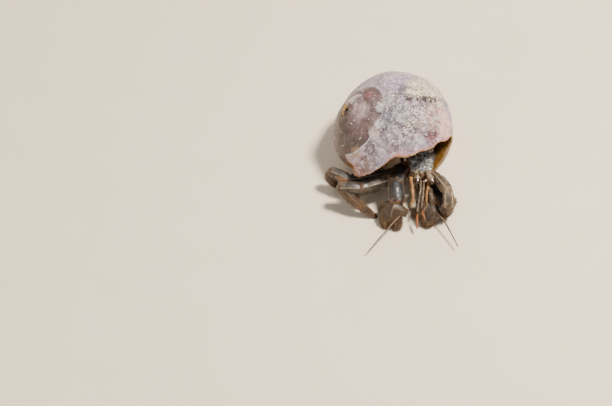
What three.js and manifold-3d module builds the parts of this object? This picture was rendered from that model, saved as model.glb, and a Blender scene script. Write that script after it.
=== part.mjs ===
// A land hermit crab in a worn moon-snail shell, walking with its head low and its claws in front.
// Millimetres, +Z up. The crab looks along -Y, its right side lies towards -X.
// The origin lies on the ground under the middle of the animal.
import * as THREE from 'three';
import { mergeVertices } from 'three/addons/utils/BufferGeometryUtils.js';
import Module from 'manifold-3d';

const wasm = await Module();
wasm.setup();

const DEGREE = Math.PI / 180;
const TURN = 2 * Math.PI;
const SHORT_EDGE = 0.06; // shorter edges than this are drawn together
const SAME_PLACE = 1e-4; // corners closer than this are one
const GAP = 0.3; // clear space between two pieces that meet
const MIDDLE = { x: 0.08, y: 0.16 }; // middle of the animal's length and width, from the joints' own zero
const LEFT = 1; // the crab's left lies towards +X
const RIGHT = -1;

// ---- Shell: a section that grows as it winds around the axis ----
const SHELL_APEX = [-14.73, 10.07, 23.77];
const SHELL_EULER = [2.5, -48.7, -118.9]; // degrees: how the axis leans and where the mouth faces
const SHELL_UNIT = 11.43; // distance of the last section's middle from the axis
const WHORL_GROWTH = 1.73; // size of one whorl to the one before
const SHELL_TURNS = 4;
const STEPS_PER_TURN = 16;
const SECTION_SIDES = 24;
const SECTION_HALF_WIDTH = 1.136; // in shell units, as the next four
const SECTION_HALF_HEIGHT = 1.404;
const SECTION_DROP = 1.805; // the section's middle lies this far below the apex
const AXIS_CLEARANCE = 0.02;
const COLUMELLA = 0.14; // thickness of the pillar around the axis
const SECTION_TILT = 40.4 * DEGREE;
const SECTION_POWER = 1.74; // 2 is an ellipse
const LIP_COSINES = [-0.62, -0.2, 0.32, -0.25]; // how far the lip runs ahead, around the section
const LIP_SINES = [0.64, 0.4, -0.09];
// A notch and a lobe in the lip: where, how wide and how far ahead, in radians.
const LIP_WAVES = [
  { angle: -0.11, width: 0.08, lead: -0.13 },
  { angle: 0.21, width: 0.16, lead: 0.25 },
];
const LIP_REACH = 2.5; // the part of the last whorl, in radians, over which the lip takes shape
const SHELL_WALL = 1.0;
const PILLAR = { top: 0.12, foot: 0.4, high: 1, low: 20.5, sides: 8 }; // radii, depths below the apex
const CAVITY_TURNS = 0.9;
const MOUTH_OVERRUN = 0.3;
const CALLUS = 1.015; // the earlier whorls carry this glaze inside the mouth

// ---- Crab: joints in millimetres, from the body outwards ----
const SHIELD = {
  from: [9.0, -3.6, 11.0], to: [8.7, 2.4, 14.3], wide: [6.6, 7.8, 7.6], deep: [1.8, 2.6, 2.6],
};
const TRUNK = {
  from: [9.0, -3.4, 7.6], to: [6.6, 6.4, 12.2], wide: [7.4, 8.4, 8.0], deep: [5.2, 6.0, 6.0],
};
const ABDOMEN = { // winds between two turns, in radians; its sizes are in shell units
  from: -5.0, to: -1.5, middle: 1.15, size: 0.62, tail: 0.3, narrow: 0.8, steps: 14, sides: 12,
};
const END_LENGTH = 0.42; // a limb's round end, in depths of the limb
const END_STATIONS = [0.6, 0.92]; // where that end gets a ring, in shares of its length
const SIDES = 8; // of every limb's section
const FEELER_SIDES = 6;
const SIDE_NAMES = ['right', 'left'];

const EYESTALKS = {
  right: [[7.4, -3.9, 10.3], [7.7, -6.7, 9.9]],
  left: [[10.8, -4.0, 10.3], [12.0, -6.8, 9.9]],
};
const ANTENNA_BASES = {
  right: [[5.9, -4.6, 9.0], [6.3, -9.1, 8.2], [6.5, -11.7, 6.6], [5.7, -13.2, 5.2]],
  left: [[11.6, -5.0, 8.2], [10.9, -9.2, 7.8], [10.6, -11.7, 6.6], [11.1, -13.5, 5.4]],
};
const FLAGELLA = {
  right: [[5.5, -13.5, 5.0], [1.5, -17.8, 4.6], [-1.5, -21.4, 3.8], [-6.9, -28.3, 2.2]],
  left: [[11.3, -13.9, 5.4], [12.6, -14.6, 5.5], [15.3, -17.0, 4.6], [16.8, -19.5, 3.8], [19.8, -25.6, 2.2]],
};
const ANTENNULES = {
  right: [[8.9, -5.6, 8.4], [8.6, -10.2, 9.0], [8.0, -13.6, 7.0], [7.8, -15.4, 5.4]],
  left: [[9.8, -5.6, 8.4], [9.5, -10.4, 9.2], [9.1, -13.6, 7.6], [9.0, -14.8, 6.6]],
};
const ANTENNULE_TIPS = {
  right: [[7.8, -15.8, 5.1], [7.7, -17.8, 3.9], [7.8, -19.7, 2.6]],
  left: [[9.1, -15.2, 6.3], [9.6, -16.2, 5.2], [10.1, -17.1, 4.2]],
};
const MAXILLIPEDS = {
  right: [[8.0, -4.6, 5.4], [8.3, -8.4, 6.6], [8.6, -10.9, 5.6]],
  left: [[10.8, -4.8, 6.4], [11.9, -11.4, 8.0], [12.1, -13.9, 6.2]],
};
const LEGS = {
  leg2_right: [
    [3.6, -2.6, 6.6], [0.6, -4.4, 7.2], [-8.6, -9.9, 9.0], [-14.8, -9.7, 8.8], [-9.6, -12.3, 4.4],
    [-4.4, -13.4, 0]],
  leg3_right: [
    [3.2, 0.6, 5.6], [-0.6, -0.9, 6.1], [-12.2, -5.4, 7.6], [-17.8, -2.9, 8.4], [-18.6, -2.4, 4.4],
    [-16.0, -1.8, 0]],
  leg2_left: [
    [13.0, -2.6, 7.6], [14.1, -5.2, 9.0], [16.5, -12.3, 12.0], [16.7, -14.9, 9.0], [17.4, -13.6, 4.2],
    [16.2, -12.4, 0]],
  leg3_left: [
    [12.4, -2.2, 5.8], [14.2, -4.4, 5.9], [16.8, -7.8, 6.6], [17.8, -10.6, 5.6], [18.4, -10.2, 3.4],
    [18.2, -9.0, 0]],
};
const LEG_SIZES = { leg2_right: 1.22, leg3_right: 1.04, leg2_left: 1.1, leg3_left: 1 };
const LEG_PARTS = [
  { name: 'ischium', wide: [2.2, 2.4, 2.4], deep: [2.4, 2.7, 2.9] },
  { name: 'merus', wide: [2.4, 2.9, 2.9, 2.6], deep: [2.8, 3.9, 4.1, 3.8] },
  { name: 'carpus', wide: [2.3, 2.8, 2.7], deep: [2.9, 3.9, 3.5] },
  { name: 'propodus', wide: [2.2, 2.6, 2.2], deep: [2.8, 3.2, 2.6] },
  { name: 'dactylus', wide: [1.9, 1.8, 0.8], deep: [2.4, 2.2, 0.9] },
];
const CLAWS = {
  claw_right: {
    joints: [[3.2, -1.0, 9.4], [0.9, -6.2, 9.2], [1.7, -12.3, 6.9], [0.5, -15.0, 3.6], [-0.3, -17.8, 0]],
    size: 1, thumb: LEFT,
  },
  claw_left: {
    joints: [[10.8, -3.6, 4.6], [13.8, -7.0, 4.6], [13.0, -11.2, 5.4], [10.3, -13.8, 3.0], [9.1, -15.0, 0]],
    size: 1.06, thumb: RIGHT,
  },
};
const CLAW_PARTS = {
  merus: { wide: [3.4, 4.8, 5.0], deep: [3.0, 4.2, 4.0] },
  carpus: { wide: [3.6, 4.9, 4.8], deep: [3.4, 4.4, 4.0] },
  palm: { wide: [5.4, 8.2, 8.0], deep: [3.6, 4.4, 3.8] },
  finger: { wide: [3.4, 3.2, 1.6], deep: [3.2, 2.6, 1.4] },
};
const FINGER_SPREAD = 2.0; // each finger's middle from the claw's middle line
const FINGER_CLOSE = 0.7; // the spread left at the tips
const EYE = { wide: [2.0, 1.7], deep: [2.4, 2.0], ahead: 0.22 }; // how far it reaches past the stalk's tip
const EYESTALK = { wide: [1.7, 1.8], deep: [2.0, 2.2], short: 0.3 }; // and how far the stalk stays behind
const THICK = { // along each feeler and small limb
  antennaBase: [1.3, 1.2, 0.8],
  antenna: [0.7, 0.6, 0.5],
  antennule: [0.8, 0.6, 0.6],
  antennuleTip: [0.6, 0.8, 0.5],
  maxilliped: [1.6, 1.8, 0.9],
  smallLeg: [1.6, 1.4, 0.8],
};
const BASE_STEPS = 6;
const SHORT_STEPS = 4;
const SMALL_LEGS = {
  leg4_right: [[5.0, 4.6, 10.4], [3.4, 3.2, 9.4], [3.6, 1.0, 8.4]],
  leg4_left: [[11.6, 3.6, 12.4], [12.9, 1.6, 12.9], [12.8, -0.4, 11.8]],
};

// ---- Colour and roughness of each kind of piece ----
const LOOKS = {
  shell: { color: 0x9a8790, roughness: 0.6 },
  shield: { color: 0x8a8f93, roughness: 0.3 },
  eye: { color: 0x3a2418, roughness: 0.15 },
  eyestalk: { color: 0x8a6a48, roughness: 0.3 },
  antennaBase: { color: 0xc48a46, roughness: 0.35 },
  antenna: { color: 0x9a6f4a, roughness: 0.4 },
  antennule: { color: 0x9c8f84, roughness: 0.4 },
  antennuleTip: { color: 0xb4552a, roughness: 0.4 },
  leg: { color: 0x6f675c, roughness: 0.35 },
  claw: { color: 0x6a6058, roughness: 0.35 },
  maxilliped: { color: 0x7a6a55, roughness: 0.4 },
  smallLeg: { color: 0x8a7a66, roughness: 0.4 },
  thorax: { color: 0x7c6a55, roughness: 0.5 },
  abdomen: { color: 0xb07a5c, roughness: 0.5 },
};

function vector(place) {
  return new THREE.Vector3(...place);
}

// ---- Solids ----
function toSolid(geometry) {
  const bare = geometry.clone();
  bare.deleteAttribute('normal');
  bare.deleteAttribute('uv');
  const merged = mergeVertices(bare, SAME_PLACE);
  const corners = merged.index.array;
  const kept = [];
  for (let i = 0; i < corners.length; i += 3) {
    const [a, b, c] = corners.slice(i, i + 3);
    if (a !== b && b !== c && c !== a) kept.push(a, b, c);
  }
  return new wasm.Manifold(new wasm.Mesh({
    numProp: 3,
    vertProperties: new Float32Array(merged.attributes.position.array),
    triVerts: new Uint32Array(kept),
  }));
}

function toGeometry(solid) {
  const mesh = solid.getMesh();
  const geometry = new THREE.BufferGeometry();
  geometry.setAttribute('position', new THREE.BufferAttribute(mesh.vertProperties.slice(), 3));
  geometry.setIndex(new THREE.BufferAttribute(mesh.triVerts.slice(), 1));
  return geometry;
}

function largestBody(solid) {
  return solid.decompose().reduce((best, body) => (body.volume() > best.volume() ? body : best));
}

// Draws the two ends of each very short edge together, wherever that leaves the surface whole.
function withoutShortEdges(geometry) {
  const places = [];
  for (let i = 0; i < geometry.attributes.position.count; i += 1) {
    places.push(new THREE.Vector3().fromBufferAttribute(geometry.attributes.position, i));
  }
  const corners = geometry.index.array;
  let faces = [];
  for (let i = 0; i < corners.length; i += 3) faces.push([...corners.slice(i, i + 3)]);
  const normalOf = (face, from, to) => {
    const [a, b, c] = face.map((corner) => places[corner === from ? to : corner]);
    return b.clone().sub(a).cross(c.clone().sub(a));
  };
  for (let changed = true; changed;) {
    changed = false;
    const around = places.map(() => []);
    faces.forEach((face) => face.forEach((corner) => around[corner].push(face)));
    const ringOf = (corner) => new Set(around[corner].flat().filter((other) => other !== corner));
    const settled = new Set();
    const gone = new Set();
    for (const face of faces) {
      for (let side = 0; side < 3; side += 1) {
        const [keep, drop] = [face[side], face[(side + 1) % 3]];
        if (places[keep].distanceTo(places[drop]) > SHORT_EDGE) continue;
        const [keepRing, dropRing] = [ringOf(keep), ringOf(drop)];
        const near = [...keepRing, ...dropRing];
        if (near.some((corner) => settled.has(corner))) continue;
        if ([...keepRing].filter((corner) => dropRing.has(corner)).length !== 2) continue;
        const moved = around[drop].filter((other) => !other.includes(keep));
        if (moved.some((other) => normalOf(other).dot(normalOf(other, drop, keep)) <= 0)) continue;
        around[drop].filter((other) => other.includes(keep)).forEach((other) => gone.add(other));
        moved.forEach((other) => other.splice(other.indexOf(drop), 1, keep));
        near.forEach((corner) => settled.add(corner));
        changed = true;
        break;
      }
    }
    faces = faces.filter((face) => !gone.has(face));
  }
  const result = new THREE.BufferGeometry().setFromPoints(places);
  result.setIndex(faces.flat());
  return result;
}

// The main body of a solid, without crumbs, slivers or sealed bubbles.
function cleanBody(solid) {
  return largestBody(toSolid(withoutShortEdges(toGeometry(largestBody(solid)))));
}

// Closes a row of rings, each with the same number of points, into one body.
function skinRings(rings) {
  const sides = rings[0].length;
  const points = rings.flat();
  const index = [];
  for (let row = 0; row + 1 < rings.length; row += 1) {
    for (let side = 0; side < sides; side += 1) {
      const a = row * sides + side;
      const b = row * sides + ((side + 1) % sides);
      index.push(a, b, b + sides, a, b + sides, a + sides);
    }
  }
  for (const [row, flip] of [[0, true], [rings.length - 1, false]]) {
    const middle = new THREE.Vector3();
    rings[row].forEach((point) => middle.add(point));
    points.push(middle.divideScalar(sides));
    for (let side = 0; side < sides; side += 1) {
      const a = row * sides + side;
      const b = row * sides + ((side + 1) % sides);
      index.push(...(flip ? [b, a, points.length - 1] : [a, b, points.length - 1]));
    }
  }
  let volume = 0;
  for (let i = 0; i < index.length; i += 3) {
    volume += points[index[i]].dot(points[index[i + 1]].clone().cross(points[index[i + 2]]));
  }
  if (volume < 0) index.reverse();
  const geometry = new THREE.BufferGeometry().setFromPoints(points);
  geometry.setIndex(index);
  return geometry;
}

// ---- Shell ----
function sectionPoint(angle, scale, leastRadius) {
  const power = 2 / SECTION_POWER;
  const along = SECTION_HALF_WIDTH * Math.sign(Math.cos(angle)) * Math.abs(Math.cos(angle)) ** power;
  const across = SECTION_HALF_HEIGHT * Math.sign(Math.sin(angle)) * Math.abs(Math.sin(angle)) ** power;
  const radius = 1 + scale * (along * Math.cos(SECTION_TILT) - across * Math.sin(SECTION_TILT));
  const height = scale * (along * Math.sin(SECTION_TILT) + across * Math.cos(SECTION_TILT)) - SECTION_DROP;
  return [Math.max(radius, leastRadius), height];
}

function lipLead(angle) {
  const even = LIP_COSINES.reduce((sum, size, order) => sum + size * Math.cos(order * angle), 0);
  const smooth = LIP_SINES.reduce((sum, size, order) => sum + size * Math.sin((order + 1) * angle), even);
  return LIP_WAVES.reduce((sum, wave) => {
    const away = THREE.MathUtils.euclideanModulo(angle - wave.angle + Math.PI, TURN) - Math.PI;
    return sum + wave.lead * Math.exp(-((away / wave.width) ** 2));
  }, smooth);
}

function whorlRing(turn, scale, leastRadius) {
  const ring = [];
  for (let side = 0; side < SECTION_SIDES; side += 1) {
    const angle = (side / SECTION_SIDES) * TURN;
    const [radius, height] = sectionPoint(angle, scale, leastRadius);
    const wound = turn + lipLead(angle) * Math.max(0, 1 + Math.min(turn, 0) / LIP_REACH);
    const size = SHELL_UNIT * WHORL_GROWTH ** (wound / TURN);
    ring.push(new THREE.Vector3(
      size * radius * Math.cos(wound), -size * radius * Math.sin(wound), size * height));
  }
  return ring;
}

function whorls(from, to, scale, leastRadius = AXIS_CLEARANCE) {
  const count = Math.ceil(((to - from) / TURN) * STEPS_PER_TURN);
  const chunks = [];
  for (let step = 0; step < count; step += 1) {
    const near = from + ((to - from) * step) / count;
    const far = from + ((to - from) * (step + 1)) / count;
    chunks.push(toSolid(skinRings([
      whorlRing(near, scale, leastRadius), whorlRing(far, scale, leastRadius)])));
  }
  return wasm.Manifold.union(chunks);
}

// Fills the thread of space that the whorls leave around the axis.
function shellPillar() {
  const pillar = new THREE.CylinderGeometry(PILLAR.top, PILLAR.foot, PILLAR.low - PILLAR.high, PILLAR.sides);
  pillar.rotateX(90 * DEGREE);
  pillar.translate(0, 0, -(PILLAR.low + PILLAR.high) / 2);
  return toSolid(pillar);
}

function placeShell(solid) {
  const turn = new THREE.Euler(...SHELL_EULER.map((angle) => angle * DEGREE));
  const matrix = new THREE.Matrix4().makeRotationFromEuler(turn).setPosition(vector(SHELL_APEX));
  return solid.transform(matrix.elements);
}

function shellSolid(grow) {
  const meanHalf = SHELL_UNIT * (SECTION_HALF_WIDTH + SECTION_HALF_HEIGHT) / 2;
  const outside = 1 + grow / meanHalf;
  const inside = 1 - (SHELL_WALL + grow) / meanHalf;
  let whole = whorls(-SHELL_TURNS * TURN, 0, outside).add(shellPillar());
  if (grow > 0) whole = whole.add(whorls(0, grow / SHELL_UNIT, outside));
  const earlier = whorls(-SHELL_TURNS * TURN, -CAVITY_TURNS * TURN, outside * CALLUS);
  const cavity = whorls(-CAVITY_TURNS * TURN, MOUTH_OVERRUN, inside, COLUMELLA + (2 * grow) / SHELL_UNIT);
  return cleanBody(placeShell(whole.subtract(cavity.subtract(earlier))));
}

// The soft abdomen winds up the last whorl and tapers inwards.
function abdomenSolid(grow) {
  const rings = [];
  for (let step = 0; step <= ABDOMEN.steps; step += 1) {
    const share = step / ABDOMEN.steps;
    const turn = THREE.MathUtils.lerp(ABDOMEN.to, ABDOMEN.from, share);
    const scale = THREE.MathUtils.lerp(ABDOMEN.size, ABDOMEN.tail, share) + grow / SHELL_UNIT;
    const size = SHELL_UNIT * WHORL_GROWTH ** (turn / TURN);
    rings.push(Array.from({ length: ABDOMEN.sides }, (_, side) => {
      const angle = (side / ABDOMEN.sides) * TURN;
      const radius = size * (ABDOMEN.middle + scale * Math.cos(angle) * ABDOMEN.narrow);
      const height = size * (scale * Math.sin(angle) - SECTION_DROP);
      return new THREE.Vector3(radius * Math.cos(turn), -radius * Math.sin(turn), height);
    }));
  }
  return toSolid(skinRings(rings));
}

// ---- Limbs ----
// A size along a limb, from a short list of sizes spread evenly over its length.
function sizeAt(sizes, share) {
  const place = share * (sizes.length - 1);
  const low = Math.min(Math.floor(place), sizes.length - 2);
  return THREE.MathUtils.lerp(sizes[low], sizes[low + 1], place - low);
}

// A limb segment between two joints, rounded beyond each end. Wide runs level, deep runs across both.
function segment({ from, to, wide, deep, up = [0, 0, 1] }, grow = 0) {
  const start = vector(from);
  const axis = vector(to).sub(start);
  const length = axis.length();
  axis.normalize();
  const level = new THREE.Vector3().crossVectors(axis, vector(up)).normalize();
  const across = new THREE.Vector3().crossVectors(level, axis);
  const heel = deep[0] * END_LENGTH + grow;
  const toe = deep[deep.length - 1] * END_LENGTH + grow;
  const stations = [
    ...END_STATIONS.map((share) => -share * heel).reverse(),
    ...wide.map((_, step) => (length * step) / (wide.length - 1)),
    ...END_STATIONS.map((share) => length + share * toe),
  ];
  return toSolid(skinRings(stations.map((station) => {
    const share = THREE.MathUtils.clamp(station / length, 0, 1);
    const past = Math.max(-station / heel, (station - length) / toe, 0);
    const close = Math.sqrt(1 - past * past);
    const halfWide = (sizeAt(wide, share) / 2 + grow) * close;
    const halfDeep = (sizeAt(deep, share) / 2 + grow) * close;
    const middle = start.clone().addScaledVector(axis, station);
    return ringAround(middle, level, across, halfWide, halfDeep, SIDES);
  })));
}

function ringAround(middle, level, across, halfWide, halfDeep, sides) {
  return Array.from({ length: sides }, (_, side) => {
    const angle = (side + 0.5) * (TURN / sides);
    return middle.clone()
      .addScaledVector(level, halfWide * Math.cos(angle))
      .addScaledVector(across, halfDeep * Math.sin(angle));
  });
}

// A feeler through a few places, thinner towards its tip.
function feeler(places, thick, grow = 0, steps = 3 * (places.length - 1)) {
  const curve = new THREE.CatmullRomCurve3(places.map(vector));
  const { normals, binormals } = curve.computeFrenetFrames(steps);
  return toSolid(skinRings(normals.map((normal, step) => {
    const half = sizeAt(thick, step / steps) / 2 + grow;
    return ringAround(curve.getPointAt(step / steps), normal, binormals[step], half, half, FEELER_SIDES);
  })));
}

// Everything beyond a plane, as far as the crab reaches.
function beyond(place, direction) {
  const reach = 60;
  const box = new THREE.BoxGeometry(reach, reach, reach);
  box.translate(0, 0, reach / 2);
  const turn = new THREE.Quaternion().setFromUnitVectors(new THREE.Vector3(0, 0, 1), direction);
  box.applyQuaternion(turn);
  box.translate(...place.toArray());
  return toSolid(box);
}

// Cuts two neighbours of a limb along the plane that halves their bend.
function cutAtJoint(solid, before, joint, after, keepsBefore) {
  const place = vector(joint);
  const inward = place.clone().sub(vector(before)).normalize();
  const onward = vector(after).sub(place).normalize();
  const plane = inward.add(onward).normalize();
  if (!keepsBefore) plane.negate();
  return solid.subtract(beyond(place.addScaledVector(plane, -GAP / 2), plane));
}

const FLOOR = beyond(new THREE.Vector3(), new THREE.Vector3(0, 0, -1));

// ---- Pieces: each has a name, a colour and a way to build it, larger by grow on all sides ----
const pieces = [];

function addPiece(name, look, build) {
  pieces.push({ name, look, build });
}

function addChain(name, joints, parts, look) {
  parts.forEach((part, order) => {
    const [from, to] = [joints[order], joints[order + 1]];
    addPiece(`${name}_${part.name}`, look, (grow) => {
      let solid = segment({ ...part, from, to }, grow);
      if (order > 0) solid = cutAtJoint(solid, joints[order - 1], from, to, false);
      if (joints[order + 2]) solid = cutAtJoint(solid, from, to, joints[order + 2], true);
      return solid;
    });
  });
}

// The same segment at another size.
function scaledPart(part, size) {
  return {
    ...part, wide: part.wide.map((value) => value * size), deep: part.deep.map((value) => value * size),
  };
}

function addClaw(name, { joints, size, thumb }, look) {
  const scaled = (part) => scaledPart(part, size);
  const level = new THREE.Vector3().crossVectors(
    vector(joints[4]).sub(vector(joints[2])), new THREE.Vector3(0, 0, 1)).normalize();
  const fingerPlaces = (side) => {
    const offset = level.clone().multiplyScalar(side * FINGER_SPREAD * size);
    return [
      vector(joints[3]).add(offset).toArray(),
      vector(joints[4]).addScaledVector(offset, FINGER_CLOSE).toArray(),
    ];
  };
  const finger = (side, grow) => {
    const [from, to] = fingerPlaces(side);
    return segment({ ...scaled(CLAW_PARTS.finger), from, to }, grow);
  };
  const palmParts = { ...scaled(CLAW_PARTS.palm), from: joints[2], to: joints[3] };
  addChain(name, joints, [
    { name: 'merus', ...scaled(CLAW_PARTS.merus) }, { name: 'carpus', ...scaled(CLAW_PARTS.carpus) },
  ], look);
  addPiece(`${name}_palm`, look, (grow) => cutAtJoint(
    segment(palmParts, grow).add(finger(-thumb, grow)), joints[1], joints[2], joints[3], false));
  addPiece(`${name}_finger`, look, (grow) => finger(thumb, grow));
}

addPiece('shell', LOOKS.shell, (grow) => shellSolid(grow));
addPiece('head_shield', LOOKS.shield, (grow) => segment(SHIELD, grow));
for (const name of SIDE_NAMES) {
  const [root, tip] = EYESTALKS[name];
  const towardsRoot = (share) => vector(tip).lerp(vector(root), share).toArray();
  addPiece(`eye_${name}`, LOOKS.eye, (grow) => segment(
    { from: tip, to: towardsRoot(-EYE.ahead), wide: EYE.wide, deep: EYE.deep }, grow));
  addPiece(`eyestalk_${name}`, LOOKS.eyestalk, (grow) => segment(
    { from: root, to: towardsRoot(EYESTALK.short), wide: EYESTALK.wide, deep: EYESTALK.deep }, grow));
}
for (const name of SIDE_NAMES) {
  addPiece(`antenna_base_${name}`, LOOKS.antennaBase, (grow) => feeler(
    ANTENNA_BASES[name], THICK.antennaBase, grow, BASE_STEPS));
  addPiece(`antenna_${name}`, LOOKS.antenna, (grow) => feeler(FLAGELLA[name], THICK.antenna, grow));
  addPiece(`antennule_${name}`, LOOKS.antennule, (grow) => feeler(ANTENNULES[name], THICK.antennule, grow));
  addPiece(`antennule_tip_${name}`, LOOKS.antennuleTip, (grow) => feeler(
    ANTENNULE_TIPS[name], THICK.antennuleTip, grow, SHORT_STEPS));
}
for (const [name, joints] of Object.entries(LEGS)) {
  addChain(name, joints, LEG_PARTS.map((part) => scaledPart(part, LEG_SIZES[name])), LOOKS.leg);
}
for (const [name, claw] of Object.entries(CLAWS)) addClaw(name, claw, LOOKS.claw);
for (const name of SIDE_NAMES) {
  addPiece(`maxilliped_${name}`, LOOKS.maxilliped, (grow) => feeler(
    MAXILLIPEDS[name], THICK.maxilliped, grow, SHORT_STEPS));
}
for (const [name, places] of Object.entries(SMALL_LEGS)) {
  addPiece(name, LOOKS.smallLeg, (grow) => feeler(places, THICK.smallLeg, grow, SHORT_STEPS));
}
addPiece('thorax', LOOKS.thorax, (grow) => segment(TRUNK, grow));
addPiece('abdomen', LOOKS.abdomen, (grow) => placeShell(abdomenSolid(grow)));

// A piece grown by the gap, built once.
function guardOf(build) {
  let solid = null;
  return () => {
    solid ??= build(GAP);
    return solid;
  };
}

// ---- The crab: each piece gives way to those before it ----
const crab = new THREE.Group();
const built = [];
for (const { name, look, build } of pieces) {
  let solid = build(0).subtract(FLOOR);
  for (const other of built) {
    if (solid.intersect(other.solid).volume() > 0 || solid.intersect(other.guard()).volume() > 0) {
      solid = solid.subtract(other.guard());
    }
  }
  solid = cleanBody(solid);
  built.push({ name, solid, guard: guardOf(build) });
  const root = new THREE.Vector3();
  const geometry = toGeometry(solid);
  geometry.computeBoundingBox();
  geometry.boundingBox.getCenter(root);
  geometry.translate(...root.clone().negate().toArray());
  const mesh = new THREE.Mesh(geometry, new THREE.MeshStandardMaterial({ ...look, metalness: 0 }));
  mesh.name = name;
  mesh.position.copy(root);
  crab.add(mesh);
}
crab.position.set(-MIDDLE.x, -MIDDLE.y, 0);
export default crab;
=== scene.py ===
"""A land hermit crab in a worn moon-snail shell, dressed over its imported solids.

Metres, +Z up. The crab looks along -Y and its right side lies towards -X. Places of joints
are kept in millimetres, as in the solids, and every mesh is scaled once when it is made.
"""
import logging
import math
from dataclasses import dataclass, field
from enum import Enum
from typing import Sequence

import bpy
import numpy as np
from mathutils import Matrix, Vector


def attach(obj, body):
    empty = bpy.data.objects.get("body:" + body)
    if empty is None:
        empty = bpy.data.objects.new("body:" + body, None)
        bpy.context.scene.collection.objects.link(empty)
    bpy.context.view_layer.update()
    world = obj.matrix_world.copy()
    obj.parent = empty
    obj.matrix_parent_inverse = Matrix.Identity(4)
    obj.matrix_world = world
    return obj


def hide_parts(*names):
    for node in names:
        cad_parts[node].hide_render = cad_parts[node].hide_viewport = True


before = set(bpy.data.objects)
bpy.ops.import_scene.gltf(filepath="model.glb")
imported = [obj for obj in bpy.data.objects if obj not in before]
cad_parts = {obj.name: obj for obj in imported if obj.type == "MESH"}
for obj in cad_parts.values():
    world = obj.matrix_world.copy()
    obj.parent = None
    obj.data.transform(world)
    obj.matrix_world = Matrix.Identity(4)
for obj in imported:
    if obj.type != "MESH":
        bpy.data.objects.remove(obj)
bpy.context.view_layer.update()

LOG = logging.getLogger("hermit_crab")

MM = 0.001
TURN = 2 * math.pi
SEED = 7
HEAD_MIDDLE = 9.0  # the head's middle along X, from the joints' own zero, mm
MIDDLE = np.array([0.08, 0.16, 0.0])  # middle of the animal's box, from the joints' own zero, mm

Place = Sequence[float]
Color = tuple[float, float, float]


class Side(Enum):
    """The two sides of the animal, with the sign of X on each."""

    RIGHT = -1
    LEFT = 1

    @property
    def word(self) -> str:
        """The side's name, as node names end in it."""
        return self.name.lower()


# --------------------------------------------------------------------------- shader nodes


class Wire:
    """A shader value that turns Python arithmetic into Math nodes."""

    def __init__(self, shader: "Shader", socket: bpy.types.NodeSocket) -> None:
        """Keeps the socket and the shader that it belongs to.

        Args:
            shader: The shader that new nodes go into.
            socket: The output socket that this wire starts from.
        """
        self.shader = shader
        self.socket = socket

    def math(self, operation: str, *others: "Wire | float", clamp: bool = False) -> "Wire":
        """Adds one Math node.

        Args:
            operation: The node's operation.
            others: The second and third values.
            clamp: Whether the result is kept between 0 and 1.

        Returns:
            The node's result.
        """
        settings = {"operation": operation, "use_clamp": clamp}
        values = dict(enumerate((self, *others)))
        return self.shader.add("ShaderNodeMath", settings, values)

    def __add__(self, other: "Wire | float") -> "Wire":
        return self.math("ADD", other)

    __radd__ = __add__

    def __sub__(self, other: "Wire | float") -> "Wire":
        return self.math("SUBTRACT", other)

    def __rsub__(self, other: float) -> "Wire":
        return (self * -1.0) + other

    def __mul__(self, other: "Wire | float") -> "Wire":
        return self.math("MULTIPLY", other)

    __rmul__ = __mul__

    def clamped(self) -> "Wire":
        """This value kept between 0 and 1."""
        return self.math("ADD", 0.0, clamp=True)

    def step(self, low: float, high: float) -> "Wire":
        """A smooth step.

        Args:
            low: The value where the step is 0.
            high: The value where the step is 1.

        Returns:
            A value from 0 to 1.
        """
        settings = {"interpolation_type": "SMOOTHSTEP"}
        return self.shader.add("ShaderNodeMapRange", settings,
                               {"Value": self, "From Min": low, "From Max": high})


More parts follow.
